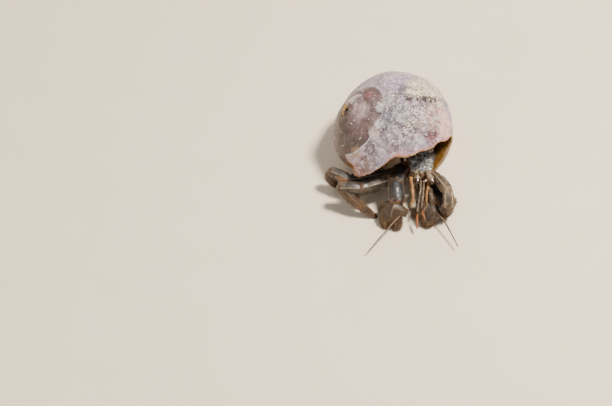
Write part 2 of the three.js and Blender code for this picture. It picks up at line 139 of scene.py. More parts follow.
class Shader:
    """One material and its node tree."""

    def __init__(self, name: str) -> None:
        """Makes a material with one Principled shader.

        Args:
            name: The material's name.
        """
        self.material = bpy.data.materials.new(name)
        self.material.use_nodes = True
        self.tree = self.material.node_tree
        self.surface = next(n for n in self.tree.nodes if n.type == "BSDF_PRINCIPLED")
        self.place = self.add("ShaderNodeTexCoord", {}, {}, output="Object")

    def add(self, kind: str, settings: dict, values: dict, output: str | int = 0) -> Wire:
        """Adds a node, sets it up and links it.

        Args:
            kind: The node's type.
            settings: Its settings, which are set first.
            values: Socket names or numbers, with a Wire or a constant for each.
            output: The output that is wanted.

        Returns:
            That output as a wire.
        """
        node = self.tree.nodes.new(kind)
        for key, value in settings.items():
            setattr(node, key, value)
        for key, value in values.items():
            if isinstance(value, Wire):
                self.tree.links.new(value.socket, node.inputs[key])
            else:
                node.inputs[key].default_value = value
        return Wire(self, node.outputs[output])

    def attribute(self, name: str) -> Wire:
        """A value that the mesh carries at its points."""
        return self.add("ShaderNodeAttribute", {"attribute_name": name}, {}, output="Fac")

    def stretched(self, scale: Place) -> Wire:
        """The place, stretched along the axes.

        Args:
            scale: The factor along each axis.

        Returns:
            A vector.
        """
        return self.add("ShaderNodeVectorMath", {"operation": "MULTIPLY"}, {0: self.place, 1: scale})

    def joined(self, x: "Wire | float", y: "Wire | float", z: "Wire | float") -> Wire:
        """Three values as one vector."""
        return self.add("ShaderNodeCombineXYZ", {}, {0: x, 1: y, 2: z})

    def noise(self, scale: float, detail: float = 4.0, rough: float = 0.55, warp: float = 0.0,
              at: Wire | None = None) -> Wire:
        """Cloudy noise.

        Args:
            scale: Features for each unit of place.
            detail: Finer layers.
            rough: The strength of the finer layers.
            warp: Distortion.
            at: Where it is read. The object's own place if left out.

        Returns:
            A value from 0 to 1.
        """
        values = {"Vector": at or self.place, "Scale": scale, "Detail": detail, "Roughness": rough,
                  "Distortion": warp}
        return self.add("ShaderNodeTexNoise", {}, values)

    def cells(self, scale: float, feature: str = "F1") -> Wire:
        """Distance to scattered points.

        Args:
            scale: Cells for each unit of place.
            feature: Which distance is read.

        Returns:
            A value.
        """
        return self.add("ShaderNodeTexVoronoi", {"feature": feature},
                        {"Vector": self.place, "Scale": scale}, output="Distance")

    def near(self, place: Place, radius: float, ragged: Wire) -> Wire:
        """A soft spot around one place.

        Args:
            place: The place, in millimetres from the joints' own zero.
            radius: The spot's radius, in millimetres.
            ragged: Noise that frays the spot's edge.

        Returns:
            1 in the spot and 0 away from it.
        """
        middle = tuple((np.asarray(place) - MIDDLE) * MM)
        away = self.add("ShaderNodeVectorMath", {"operation": "DISTANCE"}, {0: self.place, 1: middle},
                        output="Value")
        reach = radius * MM
        return 1.0 - (away + (ragged - 0.5) * (2.2 * reach)).step(0.55 * reach, 1.1 * reach)

    def near_any(self, spots: Sequence[tuple[Place, float]], ragged: Wire) -> Wire:
        """Soft spots around several places.

        Args:
            spots: Each spot's place and radius, in millimetres.
            ragged: Noise that frays the spots' edges.

        Returns:
            1 in the spots and 0 away from them.
        """
        total = self.near(*spots[0], ragged)
        for place, radius in spots[1:]:
            total = total + self.near(place, radius, ragged)
        return total.clamped()

    def mix(self, share: "Wire | float", first: "Wire | Color", second: "Wire | Color") -> Wire:
        """Blends two colours.

        Args:
            share: The part of the second colour.
            first: The colour at 0.
            second: The colour at 1.

        Returns:
            The blended colour.
        """
        ends = [(*c, 1.0) if isinstance(c, tuple) else c for c in (first, second)]
        return self.add("ShaderNodeMix", {"data_type": "RGBA"},
                        {0: share, 6: ends[0], 7: ends[1]}, output=2)

    def set(self, **values: "Wire | float | Color") -> None:
        """Sets or links sockets of the surface, by name with _ for each space."""
        for key, value in values.items():
            target = self.surface.inputs[key.replace("_", " ")]
            if isinstance(value, Wire):
                self.tree.links.new(value.socket, target)
            elif isinstance(value, tuple):
                target.default_value = (*value, 1.0)
            else:
                target.default_value = value

    def relief(self, *layers: tuple[Wire, float]) -> None:
        """Bumps the surface.

        Args:
            layers: Pairs of a height from 0 to 1 and how deep it is, in metres.
        """
        normal = None
        for height, depth in layers:
            values = {"Height": height, "Distance": depth, "Strength": 1.0}
            if normal is not None:
                values["Normal"] = normal
            normal = self.add("ShaderNodeBump", {}, values)
        self.set(Normal=normal)


# --------------------------------------------------------------------------- finishes


@dataclass(frozen=True)
class Tint:
    """A frayed spot of colour on the shell: some are its own tints, some painted light and shade."""

    place: Place
    radius: float
    color: Color
    share: float = 0.8


# The shell's own tints, with painted shade in the dark spots low on its left side and painted light in the
# pale spots on its top and right side.
SHELL_TINTS_AND_PAINTED_LIGHT = (
    Tint((-15.8, 7.6, 15.9), 7.5, (0.050, 0.030, 0.020), 0.88),
    Tint((-12.7, 1.7, 18.0), 4.5, (0.055, 0.032, 0.026), 0.85),
    Tint((-11.0, 3.9, 22.3), 4.0, (0.15, 0.075, 0.075), 0.60),
    Tint((-9.9, 7.4, 25.1), 3.6, (0.36, 0.235, 0.24), 0.65),
    Tint((-7.0, 12.7, 26.1), 2.0, (0.22, 0.055, 0.040), 0.70),
    Tint((-8.1, 19.0, 22.5), 3.5, (0.30, 0.20, 0.25), 0.60),
    Tint((-3.4, 7.0, 26.9), 2.0, (0.66, 0.60, 0.58), 0.85),
    Tint((-3.7, 1.8, 25.2), 1.9, (0.66, 0.60, 0.58), 0.85),
    Tint((-5.6, -0.8, 22.9), 2.2, (0.50, 0.40, 0.36), 0.75),
    Tint((-6.6, -3.6, 20.4), 3.2, (0.085, 0.060, 0.066), 0.85),
    Tint((-10.4, -2.2, 16.4), 2.7, (0.33, 0.20, 0.115), 0.80),
    Tint((-7.8, -5.6, 17.2), 2.2, (0.060, 0.028, 0.024), 0.80),
    Tint((-8.1, -7.0, 14.6), 4.0, (0.17, 0.068, 0.042), 0.90),
    Tint((-5.0, -7.0, 17.6), 2.6, (0.20, 0.105, 0.090), 0.75),
    Tint((-13.0, 13.5, 25.0), 3.6, (0.62, 0.52, 0.50), 0.75),
    Tint((-1.0, 8.2, 28.4), 2.6, (0.66, 0.60, 0.60), 0.75),
    Tint((0.6, 3.0, 27.6), 3.6, (0.21, 0.18, 0.25), 0.70),
    Tint((0.5, 15.0, 28.5), 5.0, (0.38, 0.265, 0.34), 0.70),
    Tint((5.3, -1.5, 26.5), 4.0, (0.42, 0.28, 0.30), 0.55),
    Tint((13.8, 3.5, 25.6), 6.5, (0.74, 0.41, 0.33), 0.85),
    Tint((13.4, 8.4, 26.0), 3.0, (0.52, 0.27, 0.25), 0.70),
    Tint((11.1, -2.6, 24.1), 2.8, (0.12, 0.015, 0.025), 0.95),
    Tint((0.5, -6.4, 22.4), 2.6, (0.40, 0.20, 0.20), 0.60),
    Tint((16.4, 1.0, 21.8), 3.4, (0.62, 0.30, 0.22), 0.80),
)

# Painted shade in the crease below the clump of sand: places along it, each with a radius.
SAND_CREASE_SHADE = (
    ((3.9, 8.0, 29.9), 1.0), ((5.3, 7.8, 30.0), 1.0), ((7.1, 7.8, 29.8), 1.0),
    ((8.9, 8.5, 29.3), 1.0), ((10.7, 8.8, 28.6), 1.0), ((12.6, 9.6, 27.3), 1.0),
)
# Where the shell is crusted and pitted, and its painted glints and crevice shade are strongest: the shoulder
# and the front of the last whorl.
CRUSTED = (
    ((2.0, 4.5, 27.5), 6.5), ((6.0, 8.0, 29.0), 6.0), ((8.5, 2.5, 26.8), 5.5), ((1.5, -2.5, 24.5), 5.0),
)


@dataclass(frozen=True)
class ShellFinish:
    """Worn snail shell: lilac grey, brown early whorls, pale patches and a tan lip, with painted light and
    shade in spots, specks and along the seam.
    """

    lilac: Color = (0.41, 0.295, 0.345)
    grey: Color = (0.20, 0.175, 0.225)
    pale: Color = (0.68, 0.61, 0.58)
    brown: Color = (0.055, 0.030, 0.022)
    white: Color = (0.90, 0.86, 0.83)
    umber: Color = (0.14, 0.075, 0.068)
    slate: Color = (0.10, 0.080, 0.105)
    mauve: Color = (0.17, 0.105, 0.125)
    rose: Color = (0.42, 0.17, 0.155)
    tan: Color = (0.36, 0.16, 0.055)
    amber: Color = (0.34, 0.165, 0.03)
    cream: Color = (0.55, 0.37, 0.20)

    def material(self) -> bpy.types.Material:
        """Builds the material.

        Returns:
            The shell's material.
        """
        s = Shader("shell")
        wind, lip, top = s.attribute("wind"), s.attribute("lip"), s.attribute("top")
        inside, early = s.attribute("inside"), s.attribute("early")
        lines = s.noise(1.0, 5.0, 0.7, 0.0, s.joined(wind * 46.0, top * 1.6, inside * 3.0))
        streaks = s.noise(1.0, 3.0, 0.6, 0.6, s.joined(wind * 20.0, top * 2.6, 5.0))
        cloud = s.noise(150.0, 5.0, 0.6, 0.5)
        blotch = s.noise(330.0, 6.0, 0.68, 0.9)
        speckle = s.noise(760.0, 5.0, 0.72, 0.8)
        crust_and_painted_light = s.noise(1350.0, 4.0, 0.66, 1.2)
        fine = s.noise(3600.0, 6.0, 0.7)
        color = s.mix(cloud.step(0.40, 0.62), self.grey, self.lilac)
        rosy = s.noise(95.0, 4.0, 0.6, 0.3, s.stretched((1.0, 1.3, 0.8))).step(0.48, 0.64)
        color = s.mix(rosy * 0.5, color, self.rose)
        dome = s.mix(streaks.step(0.36, 0.64), self.brown, self.umber)
        color = s.mix(early, color, dome)
        # Colour spots, painted light and shade among them.
        for tint in SHELL_TINTS_AND_PAINTED_LIGHT:
            color = s.mix(s.near(tint.place, tint.radius, blotch) * tint.share, color, tint.color)
        body = 1.0 - early * 0.85
        crusted = s.near_any(CRUSTED, blotch)
        patches = s.noise(520.0, 4.0, 0.65, 1.0)
        color = s.mix((1.0 - patches.step(0.38, 0.46)) * (0.10 + crusted * 0.65), color, self.slate)
        color = s.mix(patches.step(0.56, 0.64) * body * (0.10 + crusted * 0.55), color, self.pale)
        # Pale specks on the raised speckle: partly the worn shell's own specks, partly painted glints.
        color = s.mix(speckle.step(0.53, 0.59) * body * (0.55 + crusted * 0.4), color, self.pale)
        color = s.mix(lines.step(0.56, 0.74) * 0.35, color, self.pale)
        # Mauve in the speckle's low parts and brown in the crust's low parts: partly the shell's own dark
        # specks, partly painted shade in its crevices.
        color = s.mix((1.0 - speckle.step(0.41, 0.47)) * (0.45 + crusted * 0.45), color, self.mauve)
        color = s.mix((1.0 - crust_and_painted_light.step(0.37, 0.41)) * (0.35 + crusted * 0.60), color, self.brown)
        # White specks on the raised crust: partly the shell's own pale specks, partly painted glints.
        color = s.mix(crust_and_painted_light.step(0.59, 0.63) * body * (0.50 + crusted * 0.50), color, self.white)
        # Painted light: a pale band along the seam, where the shoulder of the last whorl faces the light.
        painted_shoulder_light = (1.0 - s.attribute("seam").step(0.0, 0.11)) * blotch.step(0.34, 0.50) * (1.0 - early)
        color = s.mix(painted_shoulder_light * 0.85, color, self.pale)
        pits = 1.0 - s.cells(1000.0).step(0.10, 0.28)
        color = s.mix(pits * blotch.step(0.46, 0.56) * 0.75, color, self.brown)
        # Painted shade: dark brown along the crease below the clump of sand.
        color = s.mix(s.near_any(SAND_CREASE_SHADE, speckle) * 0.9, color, self.brown)
        tip = 1.0 - (wind + (blotch - 0.5) * 0.5).step(-3.62, -3.42)
        color = s.mix(tip, color, self.amber)
        color = s.mix(lip.step(0.78, 0.99) * (0.3 + blotch * 0.6), color, self.rose)
        color = s.mix((lip + (blotch - 0.5) * 0.10).step(0.94, 0.99), color, self.tan)
        inner = s.mix(lip.step(0.82, 1.0), self.amber, self.cream)
        inner = s.mix(lines.step(0.40, 0.66) * 0.35, inner, self.brown)
        color = s.mix(inside, color, inner)
        s.set(Base_Color=color, Roughness=0.58 - fine * 0.30 - inside * 0.2, Specular_IOR_Level=0.5)
        s.relief((lines, 0.00016), (blotch, 0.00025), (speckle * (0.35 + crusted), 0.00055),
                 (crust_and_painted_light * (0.3 + crusted), 0.00040), (fine, 0.00010))
        return s.material


@dataclass(frozen=True)
class ChitinFinish:
    """Wet crab shell: dark faces, pale ridges, orange joints and small granules."""

    name: str
    face: Color = (0.018, 0.014, 0.012)
    back: Color = (0.075, 0.055, 0.040)
    ridge: Color = (0.33, 0.245, 0.16)
    joint: Color = (0.13, 0.055, 0.016)
    ridge_share: float = 0.70
    joint_share: float = 0.40
    flank_share: float = 0.12
    granules: float = 0.00010
    rough: float = 0.42
    coat: float = 0.12

    def material(self) -> bpy.types.Material:
        """Builds the material.

        Returns:
            The limb's material.
        """
        s = Shader(self.name)
        along, ridge = s.attribute("along"), s.attribute("ridge")
        cloud = s.noise(420.0, 5.0, 0.6, 0.6)
        mottle = s.noise(1300.0, 5.0, 0.65, 0.3)
        fine = s.noise(5200.0, 4.0, 0.6)
        grain = s.cells(2300.0)
        color = s.mix(cloud.step(0.40, 0.68), self.face, self.back)
        color = s.mix(mottle.step(0.60, 0.74) * 0.35, color, self.ridge)
        crest = ridge.step(0.45, 0.95) * self.ridge_share * (mottle.step(0.30, 0.60) * 0.6 + 0.4)
        color = s.mix(crest, color, self.ridge)
        ends = (along.step(0.93, 1.0) + (1.0 - along.step(0.0, 0.05))).clamped()
        color = s.mix(ends * cloud.step(0.38, 0.56) * self.joint_share, color, self.joint)
        edges = s.attribute("around")
        flank = (edges * TURN).math("COSINE") * 0.5 + 0.5
        color = s.mix(flank.step(0.55, 1.0) * self.flank_share * cloud.step(0.30, 0.60), color, self.ridge)
        spots = 1.0 - grain.step(0.08, 0.24)
        color = s.mix(spots * mottle.step(0.40, 0.60) * 0.35, color, self.ridge)
        s.set(Base_Color=color, Roughness=self.rough + mottle * 0.22, Coat_Weight=self.coat,
              Coat_Roughness=0.12, Specular_IOR_Level=0.4)
        s.relief((spots, self.granules), (mottle, 0.00014), (fine, 0.00002))
        return s.material


@dataclass(frozen=True)
class ShieldFinish:
    """The head shield: wet and grey with bluish-white specks, partly painted glints, a paler front, and
    painted light on the side that faces the key.
    """

    grey: Color = (0.085, 0.075, 0.062)
    blue: Color = (0.42, 0.44, 0.46)
    pale: Color = (0.48, 0.36, 0.24)
    dark: Color = (0.03, 0.025, 0.022)

    def material(self) -> bpy.types.Material:
        """Builds the material.

        Returns:
            The shield's material.
        """
        s = Shader("head_shield")
        left, front = s.attribute("left"), s.attribute("front")
        cloud = s.noise(500.0, 5.0, 0.65, 0.8)
        fleck = s.noise(1500.0, 5.0, 0.7, 0.8)
        grain = s.cells(2600.0)
        color = s.mix(cloud.step(0.36, 0.60), self.dark, self.grey)
        # Painted light: paler towards the crab's left, the side that faces the key.
        color = s.mix(left.step(0.62, 0.95) * cloud.step(0.36, 0.58) * 0.35, color, self.pale)
        # Bluish-white specks: partly the shield's own specks, partly painted glints on its wet surface.
        color = s.mix(fleck.step(0.54, 0.60) * 0.9, color, self.blue)
        color = s.mix((1.0 - fleck.step(0.40, 0.46)) * 0.8, color, self.dark)
        color = s.mix(front.step(0.70, 0.95) * cloud.step(0.30, 0.50) * 0.9, color, self.pale)
        s.set(Base_Color=color, Roughness=0.32 + fleck * 0.25, Coat_Weight=0.35, Coat_Roughness=0.12)
        s.relief((1.0 - grain.step(0.08, 0.34), 0.00007), (fleck, 0.00007))
        return s.material


@dataclass(frozen=True)
class EyeFinish:
    """A glossy, faceted cornea, dark red-brown with a paler rim."""

    deep: Color = (0.020, 0.007, 0.004)
    glow: Color = (0.115, 0.045, 0.018)

    def material(self) -> bpy.types.Material:
        """Builds the material.

        Returns:
            The cornea's material.
        """
        s = Shader("cornea")
        facet = s.cells(16000.0, "DISTANCE_TO_EDGE")
        color = s.mix(s.attribute("along").step(0.0, 0.8), self.glow, self.deep)
        color = s.mix(s.noise(1800.0).step(0.45, 0.7) * 0.5, color, self.glow)
        s.set(Base_Color=color, Roughness=0.12 + s.noise(3000.0) * 0.08, Coat_Weight=1.0,
              Coat_Roughness=0.03)
        s.relief((facet, 0.00001))
        return s.material


@dataclass(frozen=True)
class FeelerFinish:
    """Tan to orange feelers, ringed and a little translucent."""

    name: str
    light: Color = (0.38, 0.165, 0.034)
    dark: Color = (0.17, 0.07, 0.025)
    rings: float = 40.0
    ring_share: float = 0.4

    def material(self) -> bpy.types.Material:
        """Builds the material.

        Returns:
            The feeler's material.
        """
        s = Shader(self.name)
        ring = (s.attribute("along") * (self.rings * TURN)).math("SINE") * 0.5 + 0.5
        cloud = s.noise(900.0, 5.0, 0.6, 0.5)
        color = s.mix(cloud.step(0.36, 0.66), self.dark, self.light)
        color = s.mix(ring.step(0.7, 1.0) * self.ring_share, color, self.dark)
        s.set(Base_Color=color, Roughness=0.30 + cloud * 0.2, Coat_Weight=0.3, Coat_Roughness=0.15,
              Subsurface_Weight=0.12, Subsurface_Scale=0.0006)
        s.relief((ring, 0.00003), (s.noise(5000.0), 0.00002))
        return s.material


@dataclass(frozen=True)
class FleshFinish:
    """Soft, moist skin with fine wrinkles."""

    name: str
    light: Color = (0.42, 0.24, 0.13)
    dark: Color = (0.11, 0.055, 0.03)

    def material(self) -> bpy.types.Material:
        """Builds the material.

        Returns:
            The skin's material.
        """
        s = Shader(self.name)
        cloud = s.noise(350.0, 5.0, 0.6, 0.6)
        wrinkle = s.noise(900.0, 5.0, 0.65, 2.0)
        color = s.mix(cloud.step(0.34, 0.66), self.dark, self.light)
        color = s.mix((1.0 - wrinkle.step(0.34, 0.50)) * 0.5, color, self.dark)
        s.set(Base_Color=color, Roughness=0.38 + wrinkle * 0.2, Coat_Weight=0.25,
              Subsurface_Weight=0.15, Subsurface_Scale=0.001)
        s.relief((wrinkle, 0.00012), (s.noise(4200.0), 0.00003))
        return s.material


@dataclass(frozen=True)
class GrainFinish:
    """Small loose things whose tint changes from one to the next, such as sand and bristles."""

    name: str
    first: Color
    second: Color
    third: Color
    rough: float = 0.55

    def material(self) -> bpy.types.Material:
        """Builds the material.

        Returns:
            The material.
        """
        s = Shader(self.name)
        tint = s.attribute("tint")
        color = s.mix(tint.step(0.0, 0.55), self.first, self.second)
        color = s.mix(tint.step(0.72, 0.92), color, self.third)
        color = s.mix(s.noise(2600.0, 3.0).step(0.45, 0.75) * 0.3, color, self.second)
        s.set(Base_Color=color, Roughness=self.rough + s.noise(4000.0) * 0.15)
        s.relief((s.noise(6000.0), 0.00002))
        return s.material


# --------------------------------------------------------------------------- meshes


def make_object(name: str, points: np.ndarray, faces: Sequence[Sequence[int]],
                material: bpy.types.Material, values: dict[str, np.ndarray] | None = None,
                ) -> bpy.types.Object:
    """Makes a smooth mesh object from places in millimetres.

    Args:
        name: The piece's name.
        points: Places, one row each, from the joints' own zero.
        faces: Corner numbers of each face.
        material: The piece's material.
        values: Point values that the material reads.

    Returns:
        The new object, on the body.
    """
    mesh = bpy.data.meshes.new(name)
    mesh.from_pydata(((np.asarray(points) - MIDDLE) * MM).tolist(), [], [list(f) for f in faces])
    mesh.polygons.foreach_set("use_smooth", [True] * len(mesh.polygons))
    for key, data in (values or {}).items():
        mesh.attributes.new(key, "FLOAT", "POINT").data.foreach_set("value", np.ravel(data))
    mesh.materials.append(material)
    mesh.update()
    obj = bpy.data.objects.new(name, mesh)
    bpy.context.scene.collection.objects.link(obj)
    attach(obj, "root")
    return obj


def grid_faces(rows: int, columns: int) -> list[tuple[int, ...]]:
    """Quads over a grid of points whose rows close on themselves.

    Args:
        rows: Rows of points.
        columns: Points in each row.

    Returns:
        The faces.
    """
    return [(r * columns + c, r * columns + (c + 1) % columns,
             (r + 1) * columns + (c + 1) % columns, (r + 1) * columns + c)
            for r in range(rows - 1) for c in range(columns)]


def capped_faces(rows: int, columns: int) -> list[tuple[int, ...]]:
    """Quads over a closed tube, with a face across each end."""
    faces = grid_faces(rows, columns)
    faces.append(tuple(reversed(range(columns))))
    faces.append(tuple((rows - 1) * columns + c for c in range(columns)))
    return faces


def outward(points: np.ndarray, faces: list[tuple[int, ...]]) -> list[tuple[int, ...]]:
    """Turns the faces of a closed body so that they look outwards."""
    volume = 0.0
    for face in faces:
        corner = points[face[0]]
        for b, c in zip(face[1:], face[2:]):
            volume += float(np.dot(corner, np.cross(points[b], points[c])))
    return [tuple(reversed(f)) for f in faces] if volume < 0 else faces


def smooth_sizes(sizes: Sequence[float], share: np.ndarray) -> np.ndarray:
    """Sizes along a limb, from a short list spread evenly over its length.

    Args:
        sizes: The list.
        share: Places along the limb, from 0 to 1.

    Returns:
        A size for each place, on one smooth curve through the list.
    """
    values = np.asarray(sizes, dtype=float)
    padded = np.concatenate([[2 * values[0] - values[1]], values, [2 * values[-1] - values[-2]]])
    at = np.clip(share, 0, 1) * (len(values) - 1)
    low = np.minimum(at.astype(int), len(values) - 2)
    t = at - low
    a, b, c, d = (padded[low + i] for i in range(4))
    return 0.5 * (2 * b + (c - a) * t + (2 * a - 5 * b + 4 * c - d) * t ** 2
                  + (3 * b - a - 3 * c + d) * t ** 3)


def unit(vector: np.ndarray) -> np.ndarray:
    """The vector at length 1, or each row of an array of them."""
    return vector / np.maximum(np.linalg.norm(vector, axis=-1, keepdims=True), 1e-12)


def gradient_noise(places: np.ndarray) -> np.ndarray:
    """Smooth noise with cells of size 1.

    Args:
        places: The places, one row each.

    Returns:
        A value near -0.7 to 0.7 for each place.
    """
    cell = np.floor(places).astype(np.int64)
    inner = places - cell
    fade = inner ** 3 * (inner * (inner * 6 - 15) + 10)
    total = np.zeros(len(places))
    for corner in np.ndindex(2, 2, 2):
        x, y, z = (cell + np.array(corner)).T
        mixed = (x * 73856093) ^ (y * 19349663) ^ (z * 83492791)
        slopes = []
        for factor in (1274126177, 668265263, 374761393):
            mixed = ((mixed ^ (mixed >> 13)) * factor) & 0x7FFFFFFF
            slopes.append((mixed >> 7) % 2001 / 1000 - 1)
        away = inner - np.array(corner)
        near = np.where(np.array(corner) == 1, fade, 1 - fade).prod(axis=1)
        total += near * (away * np.stack(slopes, axis=1)).sum(axis=1)
    return total


SEED_SHIFT = 7.31  # moves the noise for each seed
OCTAVE_SHIFT = 19.7  # and for each finer layer


def layered_noise(points: np.ndarray, size: float, octaves: int = 3, seed: float = 0.0) -> np.ndarray:
    """Smooth noise at places in millimetres.

    Args:
        points: The places, one row each.
        size: The size of the coarsest lumps, in millimetres.
        octaves: How many finer layers there are.
        seed: Shifts the pattern.

    Returns:
        A value near -1 to 1 for each place.
    """
    total, strength = np.zeros(len(points)), 1.5
    for octave in range(octaves):
        places = np.asarray(points) / size * 2 ** octave + SEED_SHIFT * seed + OCTAVE_SHIFT * octave
        total += strength * gradient_noise(places)
        strength *= 0.5
    return total


def grid_normals(grid: np.ndarray) -> np.ndarray:
    """Unit normals of a grid whose rows close on themselves.

    Args:
        grid: Rows by columns by three.

    Returns:
        Normals of the same shape, on the side of rows crossed with columns.
    """
    around = np.roll(grid, -1, axis=1) - np.roll(grid, 1, axis=1)
    return unit(np.cross(np.gradient(grid, axis=0), around))


def curve_through(places: Sequence[Place], count: int) -> np.ndarray:
    """Evenly spaced places on a smooth curve.

    Args:
        places: Places that the curve passes through.
        count: How many are wanted.

    Returns:
        The places, one row each.
    """
    knots = np.asarray(places, dtype=float)
    share = np.linspace(0, 1, 40 * len(knots))
    fine = np.stack([smooth_sizes(knots[:, axis], share) for axis in range(3)], axis=1)
    run = np.concatenate([[0], np.cumsum(np.linalg.norm(np.diff(fine, axis=0), axis=1))])
    even = np.linspace(0, run[-1], count)
    return np.stack([np.interp(even, run, fine[:, axis]) for axis in range(3)], axis=1)


def frames_along(path: np.ndarray) -> tuple[np.ndarray, np.ndarray, np.ndarray]:
    """Directions that follow a path without twisting.

    Args:
        path: Places, one row each. The first sideways direction lies close to +X.

    Returns:
        The directions onward, sideways and across at each place.
    """
    onward = unit(np.gradient(path, axis=0))
    sideways, last = [], np.array([1.0, 0.0, 0.0])
    for direction in onward:
        last = unit(last - direction * np.dot(last, direction))
        sideways.append(last)
    level = np.array(sideways)
    return onward, level, np.cross(level, onward)


@dataclass
class Skin:
    """A closed surface over a grid of points, with the values that its material reads."""

    points: np.ndarray
    normals: np.ndarray
    along: np.ndarray
    around: np.ndarray
    ridge: np.ndarray

    def build(self, name: str, material: bpy.types.Material, slot: str,
              replaced: Sequence[str] = ()) -> bpy.types.Object:
        """Makes the object.

        Args:
            name: The piece's name.
            material: Its material.
            slot: Not used.
            replaced: The solids that it stands for.

        Returns:
            The object.
        """
        rows, columns = self.along.shape
        flat = self.points.reshape(-1, 3)
        faces = outward(flat, capped_faces(rows, columns))
        values = {"along": self.along, "ridge": self.ridge, "around": self.around}
        obj = make_object(name, flat, faces, material, values)
        if replaced:
            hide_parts(*replaced)
        return obj

    def dress(self, node: str, material: bpy.types.Material, slot: str) -> None:
        """Makes the object that stands for one solid.

        Args:
            node: The solid.
            material: The piece's material.
            slot: Not used.
        """
        self.build(f"{node}_surface", material, slot, [node])


# --------------------------------------------------------------------------- limbs

END_REACH = 0.985  # of a rounded end, which keeps its last ring from closing to a point
CROWDED, EVEN = 0.55, 0.45  # how far a segment's rows draw together at its ends
CUFF = 0.14  # of a segment, over which it widens from its neck
RIM, RIM_WIDTH, RIM_SWELL = 0.93, 0.05, 0.05  # the swollen rim before the outer joint
RIDGE_WIDTH = 0.14  # radians
LUMPS, KNOBS = 1.5, 0.42  # their sizes, mm


@dataclass(frozen=True)
class Segment:
    """One stiff piece of a limb between two joints, rounded beyond both ends.

    Wide runs level and deep runs across it, as in the solids. Ridges are angles around the
    limb, in degrees, with 0 on its level side and 90 on its back.
    """

    start: Place
    end: Place
    wide: Sequence[float]
    deep: Sequence[float]
    ridges: Sequence[float] = ()
    keel: float = 0.16
    knobs: float = 0.10
    neck: float = 0.80
    round_end: float = 0.42
    rows: int = 44
    columns: int = 56
    seed: float = 0.0

    def directions(self) -> tuple[np.ndarray, np.ndarray, np.ndarray, float]:
        """The axis, the level direction, the one across it, and the length."""
        axis = np.subtract(self.end, self.start).astype(float)
        length = float(np.linalg.norm(axis))
        axis = axis / length
        level = unit(np.cross(axis, (0.0, 0.0, 1.0)))
        return axis, level, np.cross(level, axis), length

    def loft(self) -> Skin:
        """Builds the surface.

        Returns:
            The skin.
        """
        axis, level, across, length = self.directions()
        heel, toe = self.deep[0] * self.round_end, self.deep[-1] * self.round_end
        bend = np.sin(np.linspace(-math.pi / 2, math.pi / 2, self.rows)) * 0.5 + 0.5
        blend = CROWDED * bend + EVEN * np.linspace(0, 1, self.rows)
        station = -END_REACH * heel + blend * (length + END_REACH * (heel + toe))
        share = np.clip(station / length, 0, 1)
        past = np.maximum(np.maximum(-station / heel, (station - length) / toe), 0)
        close = np.sqrt(1 - past ** 2)
        cuff = 1 - (1 - self.neck) * np.clip(1 - share / CUFF, 0, 1) ** 2
        cuff = cuff * (1 + RIM_SWELL * np.exp(-((share - RIM) / RIM_WIDTH) ** 2))
        wide = smooth_sizes(self.wide, share) / 2 * close * cuff
        deep = smooth_sizes(self.deep, share) / 2 * close * cuff
        angle = np.linspace(0, TURN, self.columns, endpoint=False)
        ridge = np.zeros((self.rows, self.columns))
        for degrees in self.ridges:
            gap = (angle - math.radians(degrees) + math.pi) % TURN - math.pi
            ridge = np.maximum(ridge, np.exp(-(gap / RIDGE_WIDTH) ** 2)[None, :] * close[:, None])
        middle = np.asarray(self.start) + station[:, None] * axis
        points = (middle[:, None, :]
                  + (wide[:, None] * np.cos(angle))[..., None] * level
                  + (deep[:, None] * np.sin(angle))[..., None] * across)
        normals = grid_normals(points)
        normals *= np.sign((normals * (points - middle[:, None, :])).sum())
        flat = points.reshape(-1, 3)
        lumps = layered_noise(flat, LUMPS, 2, self.seed).reshape(ridge.shape)
        knobs = layered_noise(flat, KNOBS, 2, self.seed + 3).reshape(ridge.shape)
        raised = self.keel * ridge * (0.75 + 0.9 * np.maximum(knobs, 0))
        raised = raised + self.knobs * (0.45 * lumps + 0.55 * np.maximum(knobs, 0) ** 1.4)
        points = points + normals * (raised * close[:, None])[..., None]
        points[..., 2] = np.maximum(points[..., 2], 0.0)
        along = np.repeat(share[:, None], self.columns, axis=1)
        around = np.repeat(angle[None, :] / TURN, self.rows, axis=0)
        return Skin(points, normals, along, around, ridge)


